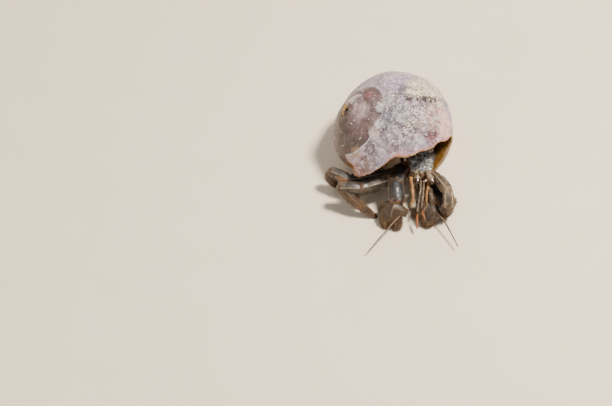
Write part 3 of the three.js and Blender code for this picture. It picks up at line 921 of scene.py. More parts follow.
@dataclass(frozen=True)
class Feeler:
    """A jointed or ringed feeler along a curve."""

    places: Sequence[Place]
    thick: Sequence[float]
    joints: Sequence[float] = ()
    pinch: float = 0.16
    rings: int = 0
    ring_depth: float = 0.05
    rows: int = 90
    columns: int = 20
    seed: float = 0.0

    def loft(self) -> Skin:
        """Builds the surface.

        Returns:
            The skin.
        """
        path = curve_through(self.places, self.rows)
        onward, level, across = frames_along(path)
        share = np.linspace(0, 1, self.rows)
        run = float(np.linalg.norm(np.diff(path, axis=0), axis=1).sum())
        radius = smooth_sizes(self.thick, share) / 2
        for joint in self.joints:
            radius = radius * (1 - self.pinch * np.exp(-((share - joint) / 0.018) ** 2))
            radius = radius * (1 + 0.07 * np.exp(-((share - joint + 0.05) / 0.03) ** 2))
        if self.rings:
            radius = radius * (1 - self.ring_depth * (0.5 + 0.5 * np.cos(share * self.rings * TURN)))
        ends = np.minimum(share, 1 - share) * run / np.maximum(radius, 0.05)
        radius = radius * np.sqrt(1 - np.clip(1 - ends, 0, 0.97) ** 2)
        angle = np.linspace(0, TURN, self.columns, endpoint=False)
        normals = (np.cos(angle)[None, :, None] * level[:, None, :]
                   + np.sin(angle)[None, :, None] * across[:, None, :])
        points = path[:, None, :] + radius[:, None, None] * normals
        rough = layered_noise(points.reshape(-1, 3), 0.6, 2, self.seed).reshape(points.shape[:2])
        points = points + normals * (rough * radius[:, None] * 0.06)[..., None]
        points[..., 2] = np.maximum(points[..., 2], 0.0)
        along = np.repeat(share[:, None], self.columns, axis=1)
        around = np.repeat(angle[None, :] / TURN, self.rows, axis=0)
        return Skin(points, unit(normals), along, around, np.zeros(along.shape))


@dataclass(frozen=True)
class SegmentShape:
    """The sizes of one kind of leg segment, from its inner to its outer end."""

    name: str
    wide: Sequence[float]
    deep: Sequence[float]
    ridges: Sequence[float]
    keel: float = 0.16


LEG_SHAPES = (
    SegmentShape("ischium", (2.2, 2.4, 2.4), (2.4, 2.7, 2.9), (60, 120)),
    SegmentShape("merus", (2.4, 2.9, 2.9, 2.6), (2.8, 3.9, 4.1, 3.8), (55, 130, 270), 0.22),
    SegmentShape("carpus", (2.3, 2.8, 2.7), (2.9, 3.9, 3.5), (48, 132, 270), 0.20),
    SegmentShape("propodus", (2.2, 2.6, 2.2), (2.8, 3.2, 2.6), (50, 130), 0.14),
    SegmentShape("dactylus", (1.9, 1.8, 0.8), (2.4, 2.2, 0.9), (90,), 0.06),
)


@dataclass(frozen=True)
class BristlePatch:
    """Where bristles grow on a surface, and how."""

    skin: Skin
    count: int
    length: float
    low: float = 0.1
    high: float = 1.0
    lean: float = 0.6
    thick: float = 0.05


@dataclass
class Bristles:
    """Short stiff bristles of one limb, as one solid mesh."""

    name: str
    material: bpy.types.Material
    slot: str
    sides: int = 3
    steps: int = 3
    patch_width: float = 0.003
    seed: int = SEED
    patches: list[BristlePatch] = field(default_factory=list)

    def strand(self, root: np.ndarray, out: np.ndarray, onward: np.ndarray, length: float,
               lean: float, thick: float) -> np.ndarray:
        """Points of one bristle.

        Args:
            root: Where it leaves the surface.
            out: The surface's normal.
            onward: Where it bends to.
            length: Its length.
            lean: How much it bends over.
            thick: Its width at the root.

        Returns:
            The points, ring by ring, then its tip.
        """
        side = unit(np.cross(out, onward))
        points = []
        for step in range(self.steps):
            share = step / self.steps
            middle = root + length * (share * out * (1 - 0.5 * lean * share)
                                      + lean * share ** 1.5 * onward) - 0.03 * out
            half = thick / 2 * (1 - 0.6 * share)
            turn = unit(np.cross(side, out + lean * onward))
            for corner in range(self.sides):
                angle = corner * TURN / self.sides
                points.append(middle + half * (math.cos(angle) * side + math.sin(angle) * turn))
        points.append(root + length * (out * (1 - 0.5 * lean) + lean * onward))
        return np.array(points)

    def build(self) -> bpy.types.Object:
        """Makes the mesh, with each bristle on its own patch of the unwrap.

        Returns:
            The object.
        """
        rng = np.random.default_rng(self.seed)
        ring_faces = grid_faces(self.steps, self.sides)
        tip = self.steps * self.sides
        ring_faces += [(tip - self.sides + c, tip - self.sides + (c + 1) % self.sides, tip)
                       for c in range(self.sides)]
        points, faces, tints, roots = [], [], [], []
        for number, patch in enumerate(self.patches):
            rows, columns = patch.skin.along.shape
            tile = (number % 6 / 6, number // 6 % 6 / 6)
            for _ in range(patch.count):
                share = rng.uniform(patch.low, patch.high)
                row = int(np.clip(np.searchsorted(patch.skin.along[:, 0], share), 1, rows - 2))
                column = int(rng.integers(columns))
                root = patch.skin.points[row, column] + rng.normal(0, 0.05, 3)
                out = unit(patch.skin.normals[row, column] + rng.normal(0, 0.22, 3))
                onward = unit(patch.skin.points[row + 1, column] - patch.skin.points[row - 1, column]
                              + rng.normal(0, 0.03, 3))
                length = patch.length * rng.uniform(0.55, 1.25)
                strand = self.strand(root, out, onward, length, patch.lean, patch.thick)
                if strand[:, 2].min() < 0.01 or root[2] < 0.05:
                    continue
                start = len(points) * (tip + 1)
                points.append(strand)
                faces += [tuple(start + corner for corner in face) for face in ring_faces]
                tints.append(np.full(tip + 1, rng.random()))
                roots.append((tile[0] + share / 6.5, tile[1] + column / columns / 6.5))
        obj = make_object(self.name, np.concatenate(points), faces, self.material,
                          {"tint": np.concatenate(tints)})
        layer = obj.data.uv_layers.new(name="OFBake")
        corners = np.empty(len(obj.data.loops), dtype=np.int32)
        obj.data.loops.foreach_get("vertex_index", corners)
        strand_of, place_in = corners // (tip + 1), corners % (tip + 1)
        uv = np.asarray(roots)[strand_of]
        uv[:, 0] += self.patch_width * (place_in % self.sides) / self.sides
        uv[:, 1] += self.patch_width * (place_in // self.sides) / (self.steps + 1)
        layer.data.foreach_set("uv", uv.ravel())
        return obj


Finish = ShellFinish | ShieldFinish | EyeFinish | FeelerFinish | ChitinFinish | FleshFinish | GrainFinish


def made(finish: Finish) -> bpy.types.Material:
    """Puts a finish in a field, whose material is built with the others.

    Args:
        finish: The finish.

    Returns:
        The field.
    """
    return field(default_factory=finish.material)


@dataclass
class Finishes:
    """Every material of the crab, made once."""

    shell: bpy.types.Material = made(ShellFinish())
    shield: bpy.types.Material = made(ShieldFinish())
    cornea: bpy.types.Material = made(EyeFinish())
    stalk: bpy.types.Material = made(FeelerFinish(
        "eyestalk", light=(0.36, 0.27, 0.16), dark=(0.10, 0.060, 0.028), ring_share=0.0))
    peduncle: bpy.types.Material = made(FeelerFinish("antenna_base", ring_share=0.0))
    flagellum: bpy.types.Material = made(FeelerFinish(
        "flagellum", light=(0.17, 0.080, 0.030), dark=(0.05, 0.02, 0.009), rings=64))
    antennule: bpy.types.Material = made(FeelerFinish(
        "antennule", light=(0.19, 0.135, 0.085), dark=(0.05, 0.032, 0.020), ring_share=0.0))
    antennule_tip: bpy.types.Material = made(FeelerFinish(
        "antennule_tip", light=(0.30, 0.080, 0.005), dark=(0.13, 0.026, 0.003), rings=22))
    mouth: bpy.types.Material = made(ChitinFinish(
        "maxilliped", face=(0.045, 0.030, 0.020), back=(0.15, 0.085, 0.04)))
    leg: bpy.types.Material = made(ChitinFinish("leg"))
    # Painted light: a paler copy of the leg material, with lighter backs, ridges and flanks, for the crab's
    # left legs, which face the key.
    left_leg_painted_light: bpy.types.Material = made(ChitinFinish(
        "left_leg_painted_light", face=(0.040, 0.030, 0.022), back=(0.15, 0.105, 0.065), ridge=(0.52, 0.40, 0.27),
        ridge_share=0.9, flank_share=0.5))
    foot: bpy.types.Material = made(ChitinFinish(
        "foot", face=(0.030, 0.014, 0.007), back=(0.085, 0.040, 0.018), ridge=(0.21, 0.125, 0.065)))
    claw: bpy.types.Material = made(ChitinFinish(
        "claw", face=(0.008, 0.007, 0.008), back=(0.026, 0.020, 0.018), ridge=(0.30, 0.22, 0.14),
        ridge_share=0.5, flank_share=0.15, granules=0.00009, joint_share=0.8))
    palm: bpy.types.Material = made(ChitinFinish(
        "palm", face=(0.024, 0.014, 0.007), back=(0.075, 0.043, 0.020), ridge=(0.21, 0.14, 0.075),
        granules=0.00011))
    finger: bpy.types.Material = made(ChitinFinish(
        "finger", face=(0.035, 0.016, 0.007), back=(0.085, 0.042, 0.018), ridge=(0.20, 0.125, 0.065)))
    membrane: bpy.types.Material = made(FleshFinish(
        "joint_membrane", light=(0.26, 0.115, 0.038), dark=(0.085, 0.034, 0.014)))
    body: bpy.types.Material = made(FleshFinish("body_skin"))
    bristle: bpy.types.Material = made(GrainFinish(
        "bristle", (0.060, 0.026, 0.010), (0.17, 0.082, 0.030), (0.42, 0.28, 0.16)))
    sand: bpy.types.Material = made(GrainFinish(
        "sand", (0.68, 0.53, 0.36), (0.80, 0.70, 0.55), (0.36, 0.25, 0.17), 0.7))


# How many bristles each leg segment has and how long they are, mm. The others have FEW_BRISTLES.
LEG_BRISTLES = {"merus": (160, 0.45), "carpus": (200, 0.5), "propodus": (520, 0.75), "dactylus": (380, 0.6)}
FEW_BRISTLES = (60, 0.4)
LEG_CORE = (1.9, 2.0, 2.4, 2.2, 1.7, 0.6)  # thickness of the soft core at each joint, mm
CLAW_CORE = (2.6, 3.2, 3.4, 2.6)
CORE_ROOT = (8.6, 0.0, 8.6)  # the place in the body that every core comes from
CORE_LEAD = 0.35  # how far towards it a core starts


@dataclass(frozen=True)
class WalkingLeg:
    """One of the four walking legs: five stiff segments over a soft core."""

    name: str
    joints: Sequence[Place]
    seed: float
    size: float = 1.0

    def build(self, finishes: Finishes) -> None:
        """Builds the leg.

        Args:
            finishes: The materials.
        """
        coat = Bristles(f"{self.name}_bristles", finishes.bristle, "limb", seed=int(self.seed * 10) + SEED)
        for order, shape in enumerate(LEG_SHAPES):
            wide, deep = ([self.size * value for value in sizes] for sizes in (shape.wide, shape.deep))
            segment = Segment(self.joints[order], self.joints[order + 1], wide, deep,
                              shape.ridges, shape.keel, seed=self.seed + order)
            skin = segment.loft()
            far = shape.name in ("propodus", "dactylus")
            node = f"{self.name}_{shape.name}"
            # Painted light: the upper segments of the legs on the key's side take the paler copy.
            upper = finishes.left_leg_painted_light if self.joints[0][0] > HEAD_MIDDLE else finishes.leg
            skin.dress(node, finishes.foot if far else upper, "limb")
            count, length = LEG_BRISTLES.get(shape.name, FEW_BRISTLES)
            coat.patches.append(BristlePatch(skin, count, length))
        coat.build()
        build_core(self.name, self.joints, LEG_CORE, finishes)


def build_core(name: str, joints: Sequence[Place], thick: Sequence[float], finishes: Finishes) -> None:
    """Builds the soft core of a limb, which shows as skin at its joints.

    Args:
        name: The limb's name.
        joints: Its joints.
        thick: The core's thickness at each of them.
        finishes: The materials.
    """
    start = np.asarray(joints[0]) + CORE_LEAD * (np.asarray(CORE_ROOT) - joints[0])
    path = [start, *joints[:-1]]
    core = Feeler(path, [thick[0], *thick[:-1]], rows=70, columns=18)
    skin = core.loft()
    skin.build(f"{name}_joints", finishes.membrane, "body")


class ClawRole(Enum):
    """The stiff parts of a claw before its palm."""

    MERUS = "merus"
    CARPUS = "carpus"


# Wide, deep and the angles of the ridges.
CLAW_SHAPES = {
    ClawRole.MERUS: ((3.4, 4.8, 5.0), (3.0, 4.2, 4.0), (30, 150, 270)),
    ClawRole.CARPUS: ((3.6, 4.9, 4.8), (3.4, 4.4, 4.0), (22, 158)),
}
PALM_RIDGES = ((90, 1.0), (15, 0.5), (165, 0.5))  # the angle and the strength of each
PALM_RIDGE_WIDTH = 0.13  # radians


@dataclass(frozen=True)
class Claw:
    """One claw: merus, carpus, a palm that runs on into the fixed finger, and the movable finger."""

    name: str
    joints: Sequence[Place]
    size: float
    thumb: int
    seed: float
    spread: float = 2.0  # each finger's middle from the claw's middle line
    close: float = 0.7  # the spread left at the tips
    rows: int = 70
    columns: int = 72

    def scaled(self, sizes: Sequence[float]) -> list[float]:
        """Sizes of this claw, from those of a claw of size 1."""
        return [value * self.size for value in sizes]

    def level(self) -> np.ndarray:
        """The direction from one finger to the other."""
        return unit(np.cross(np.subtract(self.joints[4], self.joints[2]), (0.0, 0.0, 1.0)))

    def finger_places(self, side: int) -> tuple[np.ndarray, np.ndarray]:
        """The ends of the finger on one side of the claw's middle."""
        offset = self.level() * side * self.spread * self.size
        return np.asarray(self.joints[3]) + offset, np.asarray(self.joints[4]) + self.close * offset

    def build(self, finishes: Finishes) -> None:
        """Builds the claw.

        Args:
            finishes: The materials.
        """
        coat = Bristles(f"{self.name}_bristles", finishes.bristle, "limb", seed=int(self.seed * 10) + SEED)
        for order, (role, (wide, deep, ridges)) in enumerate(CLAW_SHAPES.items()):
            skin = Segment(self.joints[order], self.joints[order + 1], self.scaled(wide),
                           self.scaled(deep), ridges, 0.26, 0.14, seed=self.seed + order).loft()
            skin.dress(f"{self.name}_{role.value}", finishes.claw, "limb")
            coat.patches.append(BristlePatch(skin, 160, 0.45))
        palm = self.palm()
        palm.dress(f"{self.name}_palm", finishes.palm, "limb")
        coat.patches.append(BristlePatch(palm, 900, 0.5, 0.15, 0.62, 0.7))
        coat.patches.append(BristlePatch(palm, 1500, 0.95, 0.55, 0.97, 0.5))
        start, end = self.finger_places(self.thumb)
        finger = Segment(start, end, self.scaled((3.4, 3.2, 1.6)), self.scaled((3.2, 2.6, 1.4)),
                         (90,), 0.15, 0.2, seed=self.seed + 7).loft()
        finger.dress(f"{self.name}_finger", finishes.finger, "limb")
        coat.patches.append(BristlePatch(finger, 1600, 0.95, 0.05, 0.95, 0.5))
        coat.build()
        build_core(self.name, self.joints[:4], CLAW_CORE, finishes)

    def palm(self) -> Skin:
        """The palm and the fixed finger, as one surface whose middle swings to the finger's side."""
        start, end = self.finger_places(-self.thumb)
        wrist = np.asarray(self.joints[2])
        knuckle = np.asarray(self.joints[3])
        path = curve_through([wrist, wrist + 0.5 * (knuckle - wrist), knuckle,
                              start + 0.45 * (end - start), end], self.rows)
        share = np.linspace(0, 1, self.rows)
        wide = smooth_sizes(self.scaled((4.6, 7.6, 8.4, 7.2, 4.0, 3.0, 1.4)), share) / 2
        deep = smooth_sizes(self.scaled((3.4, 4.3, 4.3, 3.8, 2.8, 2.3, 1.2)), share) / 2
        onward, _, _ = frames_along(path)
        level = unit(self.level() - onward * (onward @ self.level())[:, None])
        across = np.cross(level, onward)
        ends = np.minimum(share * 4.5, (1 - share) * 7.0)
        close = np.sqrt(1 - np.clip(1 - ends, 0, 0.98) ** 2)
        angle = np.linspace(0, TURN, self.columns, endpoint=False)
        ridge = np.zeros((self.rows, self.columns))
        for degrees, strength in PALM_RIDGES:
            gap = (angle - math.radians(degrees) + math.pi) % TURN - math.pi
            ridge = np.maximum(ridge, strength * np.exp(-(gap / PALM_RIDGE_WIDTH) ** 2)[None, :])
        ridge = ridge * close[:, None] * np.clip(1.4 - share, 0, 1)[:, None]
        normals = unit(np.cos(angle)[None, :, None] * level[:, None, :] / wide[:, None, None]
                       + np.sin(angle)[None, :, None] * across[:, None, :] / deep[:, None, None])
        points = path[:, None, :] + (
            (wide * close)[:, None, None] * np.cos(angle)[None, :, None] * level[:, None, :]
            + (deep * close)[:, None, None] * np.sin(angle)[None, :, None] * across[:, None, :])
        flat = points.reshape(-1, 3)
        knobs = layered_noise(flat, 0.55, 2, self.seed).reshape(ridge.shape)
        lumps = layered_noise(flat, 2.2, 2, self.seed + 2).reshape(ridge.shape)
        raised = 0.30 * ridge + 0.20 * np.maximum(knobs, 0) ** 1.3 + 0.12 * lumps
        points = points + normals * (raised * close[:, None])[..., None]
        points[..., 2] = np.maximum(points[..., 2], 0.0)
        return Skin(points, normals, np.repeat(share[:, None], self.columns, axis=1),
                    np.repeat(angle[None, :] / TURN, self.rows, axis=0), ridge)


# --------------------------------------------------------------------------- head and body


@dataclass(frozen=True)
class FeelerPair:
    """A pair of feelers: where each of the two runs, and how both are built."""

    name: str
    right: Sequence[Place]
    left: Sequence[Place]
    thick: Sequence[float]
    joints: Sequence[float] = ()
    pinch: float = 0.16
    rings: int = 0
    ring_depth: float = 0.05
    rows: int = 90
    columns: int = 20
    slot: str = "feeler"

    def build(self, side: Side, material: bpy.types.Material) -> Skin:
        """Builds the one of a side.

        Args:
            side: The side.
            material: The feeler's material.

        Returns:
            Its surface.
        """
        places = self.right if side is Side.RIGHT else self.left
        skin = Feeler(places, self.thick, self.joints, self.pinch, self.rings, self.ring_depth,
                      self.rows, self.columns, float(side.value)).loft()
        skin.dress(f"{self.name}_{side.word}", material, self.slot)
        return skin


ANTENNA_BASES = FeelerPair(
    "antenna_base",
    ((5.9, -4.6, 9.0), (6.3, -9.1, 8.2), (6.5, -11.7, 6.6), (5.7, -13.2, 5.2)),
    ((11.6, -5.0, 8.2), (10.9, -9.2, 7.8), (10.6, -11.7, 6.6), (11.1, -13.5, 5.4)),
    (1.4, 1.25, 1.0, 0.8), (0.2, 0.45, 0.72), rows=110, columns=28)
ANTENNAE = FeelerPair(
    "antenna",
    ((5.5, -13.5, 5.0), (1.5, -17.8, 4.6), (-1.5, -21.4, 3.8), (-6.9, -28.3, 2.2)),
    ((11.3, -13.9, 5.4), (12.6, -14.6, 5.5), (15.3, -17.0, 4.6), (16.8, -19.5, 3.8), (19.8, -25.6, 2.2)),
    (0.66, 0.55, 0.45, 0.3), rings=64, rows=260, columns=14)
ANTENNULES = FeelerPair(
    "antennule",
    ((8.9, -5.6, 8.4), (8.6, -10.2, 9.0), (8.0, -13.6, 7.0), (7.8, -15.4, 5.4)),
    ((9.8, -5.6, 8.4), (9.5, -10.4, 9.2), (9.1, -13.6, 7.6), (9.0, -14.8, 6.6)),
    (0.85, 0.62, 0.6, 0.55), (0.3, 0.62))
ANTENNULE_TIPS = FeelerPair(
    "antennule_tip",
    ((7.8, -15.8, 5.1), (7.7, -17.8, 3.9), (7.8, -19.7, 2.6)),
    ((9.1, -15.2, 6.3), (9.6, -16.2, 5.2), (10.1, -17.1, 4.2)),
    (0.55, 0.8, 0.42), rings=22, ring_depth=0.12, rows=120)
MAXILLIPEDS = FeelerPair(
    "maxilliped",
    ((8.0, -4.6, 5.4), (8.3, -8.4, 6.6), (8.6, -10.9, 5.6)),
    ((10.8, -4.8, 6.4), (11.9, -11.4, 8.0), (12.1, -13.9, 6.2)),
    (1.6, 1.9, 1.5, 0.9), (0.35, 0.7), 0.2, columns=32, slot="limb")
EYESTALKS = {
    Side.RIGHT: ((7.4, -3.9, 10.3), (7.7, -6.7, 9.9)),
    Side.LEFT: ((10.8, -4.0, 10.3), (12.0, -6.8, 9.9)),
}
STALK_SHORT = 0.16  # of its length, which the stalk leaves to the cornea
EYE_AHEAD = 0.22  # of the stalk's length, which the cornea reaches past its tip


@dataclass(frozen=True)
class Head:
    """The shield, the eyes, both pairs of feelers and the mouth's covers."""

    shield_front: Place = (9.0, -3.6, 11.0)
    shield_back: Place = (8.7, 2.4, 14.3)
    shield_wide: Sequence[float] = (6.6, 7.8, 7.6)
    shield_deep: Sequence[float] = (1.8, 2.6, 2.6)
    rows: int = 80
    columns: int = 96

    def build(self, finishes: Finishes) -> None:
        """Builds the head.

        Args:
            finishes: The materials.
        """
        self.build_shield(finishes)
        for side in Side:
            self.build_eye(side, finishes)
            self.build_feelers(side, finishes)

    def build_shield(self, finishes: Finishes) -> None:
        """Builds the shield with its grooves, front teeth and beak.

        Args:
            finishes: The materials.
        """
        segment = Segment(self.shield_front, self.shield_back, self.shield_wide, self.shield_deep,
                          (), 0.0, 0.05, 1.0, rows=self.rows, columns=self.columns)
        axis, level, across, length = segment.directions()
        skin = segment.loft()
        offset = skin.points - np.asarray(self.shield_front)
        forward, sideways = offset @ axis, offset @ level
        upper = (offset @ across - (offset @ across).mean()) > 0
        front = np.exp(-np.clip(forward + 0.4, 0, None) / 0.9)
        shade_side = np.sign(level[0])
        teeth = 0.75 * np.exp(-(sideways / 0.55) ** 2) - 0.45 * np.exp(-((np.abs(sideways) - 1.1) / 0.5) ** 2)
        teeth = teeth + 0.45 * np.exp(-((np.abs(sideways) - 1.95) / 0.35) ** 2)
        groove = np.exp(-((forward - 4.2 - 0.35 * np.abs(sideways)) / 0.35) ** 2)
        furrow = np.exp(-((np.abs(sideways) - 1.9) / 0.3) ** 2) * np.clip((forward - 1.2) / 2.0, 0, 1)
        swell = layered_noise(skin.points.reshape(-1, 3), 1.1, 4, 5.0).reshape(groove.shape)
        raised = np.where(upper, -0.30 * groove - 0.16 * furrow + 0.16 * swell, 0.0)
        points = skin.points - (teeth * front)[..., None] * axis + raised[..., None] * across
        faces = outward(points.reshape(-1, 3), capped_faces(self.rows, self.columns))
        # left: higher towards the crab's left, the side that faces the key, which the shield's material
        # paints lighter.
        obj = make_object("head_shield_surface", points.reshape(-1, 3), faces, finishes.shield,
                          {"left": np.clip(0.5 + sideways * shade_side / 7.0, 0, 1), "front": front})
        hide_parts("head_shield")

    def build_eye(self, side: Side, finishes: Finishes) -> None:
        """Builds one stalk and the cornea on it.

        Args:
            side: The side.
            finishes: The materials.
        """
        start, end = (np.asarray(place) for place in EYESTALKS[side])
        stalk = Segment(start, end + STALK_SHORT * (start - end), (1.7, 1.6, 2.05), (2.0, 1.9, 2.35),
                        (), 0.0, 0.06, 1.0, rows=36, columns=36, seed=1.0 + side.value)
        stalk.loft().dress(f"eyestalk_{side.word}", finishes.stalk, "eye")
        eye = Segment(end, end + EYE_AHEAD * (end - start), (2.0, 1.7), (2.4, 2.0), (), 0.0, 0.0, 1.0,
                      rows=40, columns=40)
        eye.loft().dress(f"eye_{side.word}", finishes.cornea, "eye")

    def build_feelers(self, side: Side, finishes: Finishes) -> None:
        """Builds the feelers and the mouth cover of one side.

        Args:
            side: The side.
            finishes: The materials.
        """
        ANTENNA_BASES.build(side, finishes.peduncle)
        ANTENNAE.build(side, finishes.flagellum)
        ANTENNULES.build(side, finishes.antennule)
        ANTENNULE_TIPS.build(side, finishes.antennule_tip)
        skin = MAXILLIPEDS.build(side, finishes.mouth)
        coat = Bristles(f"maxilliped_{side.word}_bristles", finishes.bristle, "limb",
                        seed=SEED + side.value)
        coat.patches.append(BristlePatch(skin, 260, 0.5, 0.3, 0.97))
        coat.build()


@dataclass(frozen=True)
class SnailShell:
    """A section that grows as it winds, with a lip that runs ahead around the mouth."""

    apex: Place = (-14.73, 10.07, 23.77)
    lean: Place = (2.5, -48.7, -118.9)
    unit: float = 11.43
    growth: float = 1.73
    turns: int = 4
    half_width: float = 1.136
    half_height: float = 1.404
    drop: float = 1.805
    tilt: float = math.radians(40.4)
    power: float = 1.74
    lip_cosines: Sequence[float] = (-0.62, -0.2, 0.32, -0.25)
    lip_sines: Sequence[float] = (0.64, 0.4, -0.09)
    lip_waves: Sequence[Place] = ((-0.11, 0.13, -0.10), (0.21, 0.16, 0.25))  # where, how wide, how far
    lip_reach: float = 2.5
    wall: float = 1.0
    edge: float = 0.5
    cavity_turns: float = 0.9
    columella: float = 0.14
    axis_clearance: float = 0.02
    rows_per_turn: int = 96
    columns: int = 176
    dents: float = 0.16  # depths of the wear, mm
    grain: float = 0.11
    lines: float = 0.09
    seam: float = 0.24
    pits: float = 0.30

    def world(self, local: np.ndarray) -> np.ndarray:
        """Places of the joints' frame, from places along the shell's own axis."""
        x, y, z = (math.radians(value) for value in self.lean)
        about_x = np.array([[1, 0, 0], [0, math.cos(x), -math.sin(x)], [0, math.sin(x), math.cos(x)]])
        about_y = np.array([[math.cos(y), 0, math.sin(y)], [0, 1, 0], [-math.sin(y), 0, math.cos(y)]])
        about_z = np.array([[math.cos(z), -math.sin(z), 0], [math.sin(z), math.cos(z), 0], [0, 0, 1]])
        return local @ (about_x @ about_y @ about_z).T + np.asarray(self.apex)

    def lip_lead(self, angle: np.ndarray) -> np.ndarray:
        """How far the lip runs ahead, in radians, around the section."""
        even = sum(size * np.cos(order * angle) for order, size in enumerate(self.lip_cosines))
        lead = even + sum(size * np.sin((order + 1) * angle) for order, size in enumerate(self.lip_sines))
        for place, width, wave in self.lip_waves:
            away = (angle - place + math.pi) % TURN - math.pi
            lead = lead + wave * np.exp(-(away / width) ** 2)
        return lead

    def swept(self, turn: np.ndarray, angle: np.ndarray, scale: np.ndarray, least: float
              ) -> tuple[np.ndarray, np.ndarray, np.ndarray, np.ndarray]:
        """Points of the swept section.

        Args:
            turn: Where each point's section stands, in radians.
            angle: Where it lies around the section.
            scale: The section's scale.
            least: The least distance from the axis, in sections.

        Returns:
            The points, how far each has wound, and its radius and height in units of its own size.
        """
        bend = 2 / self.power
        along = self.half_width * np.sign(np.cos(angle)) * np.abs(np.cos(angle)) ** bend
        across = self.half_height * np.sign(np.sin(angle)) * np.abs(np.sin(angle)) ** bend
        radius = 1 + scale * (along * math.cos(self.tilt) - across * math.sin(self.tilt))
        height = scale * (along * math.sin(self.tilt) + across * math.cos(self.tilt)) - self.drop
        radius = np.maximum(radius, least)
        wound = turn + self.lip_lead(angle) * np.maximum(0, 1 + np.minimum(turn, 0) / self.lip_reach)
        size = self.unit * self.growth ** (wound / TURN)
        local = np.stack([size * radius * np.cos(wound), -size * radius * np.sin(wound), size * height], -1)
        return self.world(local), wound, radius, height

    def reach(self, radius: np.ndarray, height: np.ndarray, later: int) -> np.ndarray:
        """How far a point lies from the middle of another whorl, where 1 is that whorl's surface.

        Args:
            radius: The point's distance from the axis, in its own whorl's units.
            height: Its height, in the same units.
            later: How many whorls later that one is.

        Returns:
            The distances.
        """
        scale = self.growth ** later
        out, up = radius / scale - 1, height / scale + self.drop
        along = out * math.cos(self.tilt) + up * math.sin(self.tilt)
        across = up * math.cos(self.tilt) - out * math.sin(self.tilt)
        return ((np.abs(along) / self.half_width) ** self.power
                + (np.abs(across) / self.half_height) ** self.power) ** (1 / self.power)

    def build(self, finishes: Finishes) -> bpy.types.Object:
        """Builds the outside, the lip and the inside as one surface.

        Args:
            finishes: The materials.

        Returns:
            The shell.
        """
        mean_half = self.unit * (self.half_width + self.half_height) / 2
        outer_rows = int(self.turns * self.rows_per_turn)
        inner_rows = int(self.cavity_turns * self.rows_per_turn)
        angle = np.linspace(0, TURN, self.columns, endpoint=False)
        outer = np.linspace(-self.turns * TURN, 0, outer_rows)
        inner = np.linspace(0, -self.cavity_turns * TURN, inner_rows)
        rim = np.array([0.012, 0.016, 0.012])
        turn = np.concatenate([outer, rim, inner])
        thick = self.wall + (self.edge - self.wall) * np.exp(-np.abs(inner) / 0.16)
        rim_scale = 1 - self.edge / mean_half * np.array([0.2, 0.5, 0.8])
        scale = np.concatenate([np.ones(outer_rows), rim_scale, 1 - thick / mean_half])
        inside = np.concatenate([np.zeros(outer_rows), [0.2, 0.5, 0.9], np.ones(inner_rows)])
        ring = np.stack([np.cos(angle), np.sin(angle), np.zeros(self.columns)], -1)
        chips = np.maximum(layered_noise(ring * 10, 3.0, 3, 4.0) + 0.12, 0) * 0.10
        near = np.exp(-np.abs(turn) / 0.10)
        turns = turn[:, None] - near[:, None] * chips[None, :]
        angles = np.repeat(angle[None, :], len(turn), axis=0)
        least = np.where(inside[:, None] > 0.5, self.columella, self.axis_clearance)
        points, wound, radius, height = self.swept(turns, angles, scale[:, None], least)
        before = self.reach(radius, height, -1)
        after = self.reach(radius, height, 1)
        normals = grid_normals(points)
        points = points + normals * self.wear(points, wound, angles, before, inside)[..., None]
        points[..., 2] = np.maximum(points[..., 2], 0.0)
        within = (after < 0.82) & (inside[:, None] < 0.1) & (wound < -self.cavity_turns * TURN)
        values = {
            "wind": wound / TURN,
            "lip": np.repeat(np.clip(1 - np.abs(turn) / 0.9, 0, 1)[:, None], self.columns, axis=1),
            "top": np.cos(angles) * 3 + 3,
            "inside": np.maximum(np.repeat(inside[:, None], self.columns, axis=1), within * 1.0),
            "early": 1 - np.clip((wound / TURN + 0.97) / 0.25, 0, 1),
            "seam": np.clip(np.minimum(before, 2.0) - 1.0, 0, 1),
        }
        faces = grid_faces(len(turn), self.columns)
        obj = make_object("shell_surface", points.reshape(-1, 3), outward(points.reshape(-1, 3), faces),
                          finishes.shell, values)
        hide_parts("shell")
        return obj

    def wear(self, points: np.ndarray, wound: np.ndarray, angle: np.ndarray, before: np.ndarray,
             inside: np.ndarray) -> np.ndarray:
        """Dents, growth lines, pits and a deeper seam.

        Args:
            points: The surface.
            wound: How far each point has wound.
            angle: Its place around the section.
            before: Its distance from the whorl before.
            inside: 1 on the inside.

        Returns:
            How far each point moves out, in millimetres.
        """
        flat = points.reshape(-1, 3)
        shape = wound.shape
        dents = layered_noise(flat, 6.0, 2, 1.0).reshape(shape)
        small = layered_noise(flat, 1.6, 4, 2.0).reshape(shape)
        line_places = np.stack([wound * 7.0, np.cos(angle) * 0.9, np.sin(angle) * 0.9], -1).reshape(-1, 3)
        lines = layered_noise(line_places, 1.0, 4, 3.0).reshape(shape)
        seam = np.exp(-np.clip(before - 1.0, 0, 9) / 0.03)
        grown = np.clip(wound / TURN + 4.0, 0, 1)
        fresh = np.clip((wound / TURN + 1.25) / 0.2, 0.15, 1)
        outer = self.dents * dents + self.grain * small + self.lines * lines - self.seam * seam * fresh
        pits = -self.pits * np.clip(small - 0.52, 0, 1)
        return -(outer + pits) * grown * (1 - 0.75 * inside[:, None])


